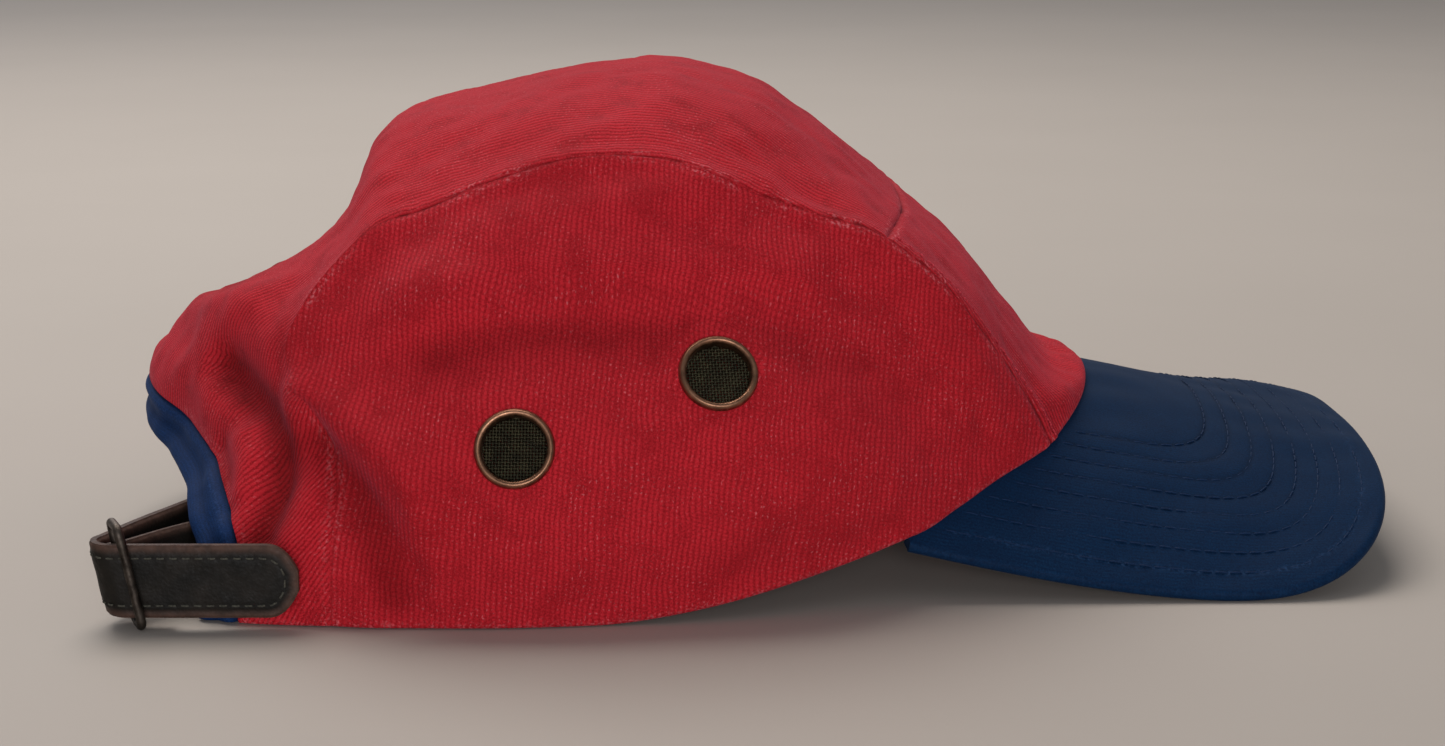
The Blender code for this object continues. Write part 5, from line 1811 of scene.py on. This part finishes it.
@dataclass
class StrapSet:
    """The leather strap, the tab that holds the wire loop, and the loop."""

    form: CrownForm
    gap: float = 0.0003
    strap_width: float = 0.0143
    strap_thickness: float = 0.0022
    end_round: float = 0.0065
    end_cut: float = 0.36
    tail_length: float = 0.0340
    tab_thickness: float = 0.0014
    tab_width: float = 0.0128
    tab_flap: float = 0.0090
    stand_off: float = 0.0125
    wire: float = 0.0018
    headroom: float = 0.0036
    ahead: float = 0.0029
    play: float = 0.0005
    turn_lean: float = 0.20
    wall_slack: float = 0.0017
    turn_sweep: float = math.radians(126.0)
    binding_thickness: float = 0.0022
    cells_up: int = 44
    cluster: float = 0.75
    tail_points: tuple[int, int] = (25, 40)
    flap_cells: int = 9
    strap_cells: tuple[int, int] = (9, 96)
    tab_cells: tuple[int, int] = (8, 48)
    face_at_edge: float = 0.52
    face_steps: tuple[Span, ...] = ((0.30, 0.0, 0.0006), (0.18, 0.0015, 0.0022))
    back_at_edge: float = 0.55
    back_round: float = 0.0008
    grain: Waves = Waves(0.03, 0.006, 41)
    edge_wear: Span = (0.0003, 0.0021)
    end_power: float = 2.6
    stitches: StitchRow = StitchRow(pitch=0.0024, length=0.0013, thread=0.00042, rise=0.00024)
    stitch_inset: float = 0.0025
    stitch_dip: Rise = Rise(-0.10, 0.0025, 0.00045)
    stitch_seat: float = 0.97
    stitched_past_tail: float = 0.016
    end_pull: float = 0.02
    bend_points: int = 13
    wire_step: float = 0.0006
    wire_sides: int = 16
    wire_waver: Waves = Waves(0.00003, 0.004, 51)
    # Painted highlight along the wire loop's top: how much film it takes off, and how far below
    # the top it reaches
    wire_wear: float = 0.7
    wire_wear_below: float = 0.003

    @property
    def base(self) -> float:
        """Height of the strap's lower edge."""
        return self.wire + self.play

    @property
    def turn_radius(self) -> float:
        """Radius of the strap's middle round the tab's fold."""
        return self.wire / 2 + 2 * self.gap + self.tab_thickness + self.strap_thickness / 2

    @property
    def centre(self) -> Array:
        """Plan position of the wire bar that the tab is folded round."""
        tail_y = self.strap_thickness / 2 - self.form.half_width
        x = (SECTIONS[-1][0] * self.form.length - self.form.rim_to_arch
             - self.form.binding_width - self.stand_off)
        return np.array([x, tail_y + self.turn_radius])

    def arc(self, radius: float, sweep: float, cells: int) -> Array:
        """Points of an arc in plan round the wire bar, clockwise from its right-hand side."""
        angles = -math.pi / 2 - np.linspace(0, sweep, cells + 1)
        return self.centre + radius * np.stack([np.cos(angles), np.sin(angles)], -1)

    def turned(self, start: Array, radius: float, sweep: float, cells: tuple[int, int],
               knots: Array, height: float) -> Array:
        """Turn a band round the wire bar and lead it through further places.

        Args:
            start: its straight start in plan.
            radius: the radius of its turn.
            sweep: the angle of its turn.
            cells: how many cells the arc that the run leads on from has, and the run.
            knots: the places that it runs through after its turn.
            height: the height of the path, for its lean.

        Returns:
            The whole path in plan.
        """
        in_arc, in_run = cells
        knots = np.vstack([self.arc(radius, sweep, in_arc)[-2:], knots])
        run = smooth_rows(knots, np.linspace(1, len(knots) - 1, in_run + 1)[1:])
        arc = self.arc(radius, sweep, FINER * in_arc)
        return self.leaned(np.vstack([start, arc, run]), height)

    def leaned(self, points: Array, height: float) -> Array:
        """Lean the fold of a band back about the strap's middle height."""
        centre = self.centre
        near = 1 - fade(points[:, 0], centre[0] + self.tab_flap / 2,
                        centre[0] + 2 * self.tab_flap)
        near *= 1 - fade(points[:, 1], centre[1] + self.tab_flap,
                         centre[1] + 4 * self.tab_flap)
        shift = -self.turn_lean * (height - self.base - self.strap_width / 2) * near
        return points + np.stack([shift, 0 * shift], -1)

    def strap_path(self, height: float) -> Array:
        """Plan of the strap at a height: its tail, its turn and its run to the far wall."""
        end, rest = self.tail_points
        run_in = np.concatenate([np.linspace(0, self.end_round, end),
                                 np.linspace(self.end_round, self.tail_length, rest)[1:-1]])
        start = self.centre + (self.tail_length, -self.turn_radius)
        tail = start - np.stack([run_in, 0 * run_in], -1)
        route = np.array(STRAP_ROUTE) * (self.form.length, self.form.half_width)
        inside = self.binding_thickness + self.wall_slack + self.strap_thickness / 2
        far = self.form.wall_walk(STRAP_ALONG, inside, 1.0, height)
        return self.turned(tail, self.turn_radius, self.turn_sweep, self.strap_cells,
                           np.vstack([route, far]), height)

    def tab_path(self, height: float) -> Array:
        """Plan of the tab at a height: its flap, its fold and its run inside the wall."""
        radius = self.wire / 2 + self.gap + self.tab_thickness / 2
        back = np.linspace(self.tab_flap, 0, self.flap_cells + 1)[:-1]
        flap = self.centre + np.stack([back, np.full_like(back, -radius)], -1)
        inside = self.binding_thickness + self.wall_slack + self.tab_thickness / 2
        near = self.form.wall_walk(TAB_ALONG, inside, -1.0, height)
        return self.turned(flap, radius, math.pi, self.tab_cells, near, height)

    def band(self, shop: Workshop, name: str, paths: list[Array], low: Array, high: Array,
             thickness: float, node: str) -> Array:
        """Make a leather band on edge, thinner and browner towards its cut edges.

        Args:
            shop: the workshop.
            name: the object's name.
            paths: its lower and upper path in plan.
            low: heights of its lower edge.
            high: heights of its upper edge.
            thickness: the leather's thickness.
            node: the solid that it stands for.

        Returns:
            Directions outwards at its middle points.
        """
        share = clustered(self.cells_up, self.cluster)
        middle = on_floor(blend(share[:, None], paths[0][:, None], paths[1][:, None]))
        middle[..., 2] = low[:, None] + (high - low)[:, None] * share
        sides = [-plan_normal(path)[:, None] for path in paths]
        side = on_floor(unit(blend(share[:, None], *sides)))
        rim = np.concatenate([middle[0], middle[-1], middle[:, 0], middle[:, -1]])
        from_edge = nearest(middle.reshape(-1, 3), rim)[0].reshape(middle.shape[:2])
        face = self.face_at_edge + self.stitch_dip.at(from_edge) + self.grain.at(middle)
        face += sum(step * fade(from_edge, *span) for step, *span in self.face_steps)
        back = -blend(fade(from_edge, 0.0, self.back_round), self.back_at_edge, 1.0)
        outer, inner = ((middle + side * (layer * thickness / 2)[..., None]).reshape(-1, 3)
                        for layer in (face, back))
        run = np.broadcast_to(run_length(paths[0])[:, None], from_edge.shape)
        flat = np.stack([run, middle[..., 2]], -1).reshape(-1, 2)
        index = np.arange(from_edge.size).reshape(from_edge.shape)
        wear = 1 - fade(from_edge, *self.edge_wear)
        thing = shop.shell(name, Panel(outer, grid_faces(index), flat), outer, inner,
                           HARNESS_LEATHER, {"wear": wear.reshape(-1)})
        shop.finish_piece(thing, Slot.LEATHER, node)
        return side

    def build_strap(self, shop: Workshop) -> None:
        """Make the strap and the two rows of stitches that meet round its end."""
        top = self.base + self.strap_width
        paths = [self.strap_path(height) for height in (self.base, top)]
        into = np.clip(1 - (paths[0][0, 0] - paths[0][:, 0]) / self.end_round, 0, 1)
        into[paths[0][:, 1] > self.centre[1]] = 0
        cut = self.strap_width * self.end_cut * into ** self.end_power
        side = self.band(shop, "strap_leather", paths, self.base + cut, top - cut,
                         self.strap_thickness, "strap")
        run = run_length(paths[0])
        outline = np.concatenate([np.stack([run, cut], -1)[::-1],
                                  np.stack([run, self.strap_width - cut], -1)])
        ahead = unit(np.gradient(outline, axis=0))
        inward = np.stack([-ahead[:, 1], ahead[:, 0]], -1)
        towards = np.stack([np.full(len(outline), self.end_pull),
                            self.strap_width / 2 - outline[:, 1]], -1)
        inward *= np.where((inward * towards).sum(-1) < 0, -1, 1)[:, None]
        row = outline + inward * self.stitch_inset
        off, _ = nearest(on_floor(row), on_floor(outline))
        least = self.stitch_inset * self.stitch_seat
        row = row[(off > least) & (np.abs(row[:, 0]) >= least)
                  & (row[:, 0] < self.tail_length + self.stitched_past_tail)]
        place = np.interp(row[:, 0], run, np.arange(len(run)))
        i = np.minimum(place.astype(int), len(run) - 2)
        u = (place - i)[:, None]
        plan = blend((row[:, 1] / self.strap_width)[:, None],
                     *(blend(u, path[i], path[i + 1]) for path in paths))
        up = side[i, side.shape[1] // 2]
        points = np.hstack([plan, self.base + row[:, 1:2]])
        points += up * (self.strap_thickness / 2 * self.stitch_seat)
        thing = self.stitches.sew(shop, "strap_stitches", [(points, up)], GREY_THREAD)
        shop.finish_piece(thing, Slot.LEATHER)

    def build_tab(self, shop: Workshop) -> None:
        """Make the short tab that is folded round the wire."""
        low = self.base + self.gap
        high = low + self.tab_width
        paths = [self.tab_path(low), self.tab_path(high)]
        self.band(shop, "strap_tab_leather", paths, np.full(len(paths[0]), low),
                  np.full(len(paths[0]), high), self.tab_thickness, "strap_tab")

    def build_loop(self, shop: Workshop) -> None:
        """Make the bent wire loop."""
        held = self.centre
        radius = self.wire / 2
        span = self.turn_radius + self.strap_thickness / 2 + self.play + radius
        top = self.base + self.strap_width + self.headroom
        middle = self.base + self.strap_width / 2
        bend = self.wire
        corners = [((bend, radius + bend), 180), ((span - bend, radius + bend), 270),
                   ((span - bend, top - bend), 0), ((bend, top - bend), 90)]
        path = []
        for (u, z), start in corners:
            for a in np.radians(np.linspace(start, start + 90, self.bend_points)):
                out, up = u + bend * math.cos(a), z + bend * math.sin(a)
                shift = self.ahead * out / span - self.turn_lean * (up - middle)
                path.append((held[0] + shift, held[1] - out, up))
        closed = np.array([*path, path[0]])
        length = run_length(closed)
        even = np.concatenate([length[:-1], np.arange(0, length[-1], self.wire_step)])
        path = along_line(closed, np.unique(even))
        tangent = unit(np.roll(path, -1, axis=0) - np.roll(path, 1, axis=0))
        third = len(path) // 3
        plane = unit(np.cross(path[third] - path[0], path[2 * third] - path[third]))
        across = unit(np.cross(tangent, plane))[:, None]
        angle = np.linspace(0, 2 * math.pi, self.wire_sides + 1)[:-1, None]
        ring = np.cos(angle) * across + np.sin(angle) * plane
        loops = path[:, None] + radius * ring
        loops += ring * self.wire_waver.at(loops)[..., None]
        # Painted highlight: the film is thinned over the loop's top, so the top comes out
        # lighter
        wear = fade(loops[..., 2], top - self.wire_wear_below, top) * self.wire_wear
        thing = shop.loft("strap_loop_wire", loops, DARK_BRONZE, closed=True,
                          marks={"wear": wear.reshape(-1)})
        shop.finish_piece(thing, Slot.BRASS, "strap_loop")

    def build(self, shop: Workshop) -> None:
        """Make all leather and wire of the strap."""
        self.build_strap(shop)
        self.build_tab(shop)
        self.build_loop(shop)


@dataclass
class Eyelet:
    """A turned ring with a rolled back, and a disc of woven wire in its bore."""

    diameter: float = 0.0154
    bore: float = 0.0123
    barrel_wall: float = 0.0004
    flange: float = 0.0012
    roll: float = 0.00084
    gap: float = 0.0003
    wall: float = 0.0016
    sides: int = 72
    disc_thickness: float = 0.0004
    disc_gap: float = 0.0001
    wire: float = 0.00036
    wire_pitch: float = 0.00060
    wire_sides: int = 6
    steps_in_pitch: float = 3.0
    seat: float = 0.00005
    face_points: int = 22
    roll_points: int = 13
    worn_at: float = 0.0009
    worn_width: float = 0.0007
    worn: float = 0.40

    @staticmethod
    def axes(normal: Array) -> tuple[Array, Array]:
        """Two directions square to a normal and to each other."""
        first = unit(np.cross((0, 0, 1), normal))
        return first, np.cross(normal, first)

    def profile(self) -> Array:
        """Radii and heights of the ring's section, going once round it."""
        bore = self.bore / 2
        barrel = bore + self.barrel_wall
        back = -self.wall - self.gap
        face = smooth_rows(EYELET_FACE,
                           np.linspace(0, len(EYELET_FACE) - 1, self.face_points))
        front = np.stack([bore + face[:, 0] * (self.diameter / 2 - bore),
                          self.seat + face[:, 1] * self.flange], -1)
        turn = np.radians(np.linspace(90, -180, self.roll_points))
        rolled = np.stack([barrel + self.roll / 2 + self.roll / 2 * np.cos(turn),
                           back - self.roll / 2 + self.roll / 2 * np.sin(turn)], -1)
        return np.vstack([front, [(barrel, self.seat), (barrel, back)], rolled[:-2],
                          [(bore, back - self.roll / 2)]])

    def wires(self, group: NodeGroup, turn: float, sign: float) -> Any:
        """Lay the wires that run one way inside a circle, over and under those across.

        Args:
            group: the node tree.
            turn: the angle that they are turned by.
            sign: how many wire widths they rise and fall, up first if above 0.

        Returns:
            The curves' socket.
        """
        work = group.math
        radius, pitch, wire = (group.given[key] for key in ("Radius", "Pitch", "Wire"))
        line = group.node("GeometryNodeCurvePrimitiveLine",
                          {"Start": group.vector(X=work("MULTIPLY", radius, -1.0)),
                           "End": group.vector(X=radius)})
        step = work("DIVIDE", pitch, self.steps_in_pitch)
        fine = group.node("GeometryNodeResampleCurve", {"Curve": line, "Length": step},
                          mode="LENGTH")
        half = work("FLOOR", work("DIVIDE", radius, pitch))
        first = work("MULTIPLY", work("MULTIPLY", half, pitch), -1.0)
        places = group.node("GeometryNodeMeshLine",
                            {"Count": work("MULTIPLY_ADD", half, 2.0, 1.0),
                             "Start Location": group.vector(Y=first),
                             "Offset": group.vector(Y=pitch)})
        rows = group.node("GeometryNodeInstanceOnPoints",
                          {"Points": places, "Instance": fine})
        real = group.node("GeometryNodeRealizeInstances", {0: rows})
        x, y, _ = group.parts(group.node("GeometryNodeInputPosition"))
        over, parity = (work("COSINE", work("MULTIPLY", work("DIVIDE", place, pitch), math.pi))
                        for place in (x, y))
        height = work("MULTIPLY", work("MULTIPLY", over, parity), work("MULTIPLY", wire, sign))
        waved = group.node("GeometryNodeSetPosition",
                           {"Geometry": real, "Offset": group.vector(Z=height)})
        far = work("SQRT", work("ADD", work("MULTIPLY", x, x), work("MULTIPLY", y, y)))
        outside = group.node("FunctionNodeCompare", {0: far, 1: radius}, data_type="FLOAT",
                             operation="GREATER_THAN")
        inside = group.node("GeometryNodeDeleteGeometry",
                            {"Geometry": waved, "Selection": outside}, domain="POINT")
        return group.node("GeometryNodeTransform",
                          {"Geometry": inside, "Rotation": (0.0, 0.0, turn)})

    def weave(self) -> NodeGroup:
        """Build the node tree that weaves wires inside a circle."""
        group = NodeGroup.start("plain woven wire", ("Radius", "Pitch", "Wire"))
        joined = group.node("GeometryNodeJoinGeometry")
        for turn, sign in ((0.0, 0.5), (math.pi / 2, -0.5)):
            group.fill(joined.node, {0: self.wires(group, turn, sign)})
        group.end(group.tube(joined, group.given["Wire"], self.wire_sides))
        return group

    def build(self, shop: Workshop, name: str, centre: Array, normal: Array) -> None:
        """Make a ring and its woven disc.

        Args:
            shop: the workshop.
            name: the eyelet's name.
            centre: its centre on the cloth.
            normal: its direction outwards.
        """
        first, second = self.axes(normal)
        profile = self.profile()
        angle = np.linspace(0, 2 * math.pi, self.sides + 1)[:-1, None, None]
        ray = np.cos(angle) * first + np.sin(angle) * second
        loops = centre + profile[None, :, :1] * ray + profile[None, :, 1:] * normal
        worn = hump(profile[:, 0], self.bore / 2 + self.worn_at, self.worn_width)
        worn *= self.worn * (profile[:, 1] > 0)
        wear = np.broadcast_to(worn, loops.shape[:2]).reshape(-1)
        thing = shop.loft(f"eyelet_{name}_ring", loops, ANTIQUE_BRASS, closed=True,
                          marks={"wear": wear})
        shop.finish_piece(thing, Slot.BRASS, f"eyelet_{name}")
        mesh = bpy.data.meshes.new(f"{name}_weave_guide")
        mesh.from_pydata([(0, 0, 0)], [], [])
        spot = centre + shop.shift - normal * (self.wall / 2 + self.disc_thickness / 2)
        axes = np.column_stack([first, second, normal, spot])
        values = {"Radius": self.bore / 2 - self.disc_gap, "Pitch": self.wire_pitch,
                  "Wire": self.wire, "Material": shop.material(BLACK_WIRE)}
        thing = self.weave().run(f"eyelet_mesh_{name}_wires", mesh, values,
                                 Matrix([*axes.tolist(), (0, 0, 0, 1)]))
        shop.finish_piece(thing, Slot.WIRE_MESH, f"eyelet_mesh_{name}")


@dataclass(frozen=True)
class Lamp:
    """A square soft light that faces the cap."""

    name: str
    place: tuple[float, float, float]
    size: float
    power: float
    colour: str
    target: tuple[float, float, float] = (0.0, 0.0, 0.04)
    level: tuple[float, float, float] = (0.0, 1.0, 0.01)

    def hang(self) -> None:
        """Put the light in the scene."""
        data = bpy.data.lights.new(self.name, "AREA")
        data.size, data.energy = self.size, self.power
        data.color = linear(self.colour)[:3]
        back = unit(np.subtract(self.place, self.target))
        side = unit(np.cross(self.level, back))
        axes = np.stack([side, np.cross(back, side), back], -1)
        lamp = bpy.data.objects.new(self.name, data)
        lamp.matrix_world = Matrix.Translation(self.place) @ Matrix(axes.tolist()).to_4x4()
        bpy.context.scene.collection.objects.link(lamp)


LAMPS = (Lamp("overhead softbox", (-0.30, 0.60, 1.20), 1.0, 16.0, "#fff8f2"),
         Lamp("front fill", (0.1, -1.6, 0.16), 0.8, 19.0, "#f8f6fa"),
         Lamp("back wash", (-0.6, 2.00, 1.50), 1.8, 9.0, "#f6f7ff"))


@dataclass
class Studio:
    """Camera, lights and floor."""

    camera_place: tuple[float, float, float] = (-0.00653, -0.56988, 0.15424)
    pitch: float = math.radians(12.22)
    lens: float = 65.9
    sensor: float = 36.0
    clip_start: float = 0.01
    floor_radius: float = 6.0
    floor_sides: int = 96
    sky: str = "#c9ccd2"
    sky_strength: float = 0.36

    def build(self, shop: Workshop) -> None:
        """Set up the studio.

        Args:
            shop: the workshop, for the floor's finish.
        """
        scene = bpy.context.scene
        scene.view_settings.view_transform = "Standard"
        camera = bpy.data.cameras.new("camera")
        camera.lens, camera.sensor_width = self.lens, self.sensor
        camera.sensor_fit, camera.clip_start = "HORIZONTAL", self.clip_start
        eye = bpy.data.objects.new("camera", camera)
        eye.location = self.camera_place
        eye.rotation_euler = (math.pi / 2 - self.pitch, 0.0, 0.0)
        scene.collection.objects.link(eye)
        scene.camera = eye
        for lamp in LAMPS:
            lamp.hang()
        world = bpy.data.worlds.new("studio")
        world.use_nodes = True
        sky = world.node_tree.nodes["Background"]
        sky.inputs["Color"].default_value = linear(self.sky)
        sky.inputs["Strength"].default_value = self.sky_strength
        scene.world = world
        angle = np.linspace(0, 2 * math.pi, self.floor_sides + 1)[:-1]
        ring = np.stack([np.cos(angle), np.sin(angle), 0 * angle], -1) * self.floor_radius
        mesh = bpy.data.meshes.new("floor")
        mesh.from_pydata(ring.tolist(), [], [list(range(self.floor_sides))])
        mesh.materials.append(shop.material(PAINTED_BOARD))
        floor = bpy.data.objects.new("floor", mesh)
        scene.collection.objects.link(floor)


def main() -> None:
    """Build the cap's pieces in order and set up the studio."""
    logging.basicConfig(level=logging.INFO, format="%(message)s")
    form = CrownForm()
    shop = Workshop(form.model_shift())
    LOG.info("shift to the model: %s", shop.shift)
    frames = form.eyelet_frames()
    crown, band = Crown(form), ArchBand(form)
    panels = crown.panels(frames)
    panels["arch_binding"] = band.panel(crown.surround()[0].shape[1] - 1)
    seams = Seams.of_panels(panels)
    crown.build(shop, panels, seams, frames)
    crown.sew_front(shop)
    band.build(shop, panels["arch_binding"], seams["arch_binding"])
    Visor(form).build(shop)
    StrapSet(form).build(shop)
    for name, (centre, normal) in frames.items():
        Eyelet().build(shop, name, centre, normal)
    Studio().build(shop)


if __name__ == "__main__":
    main()
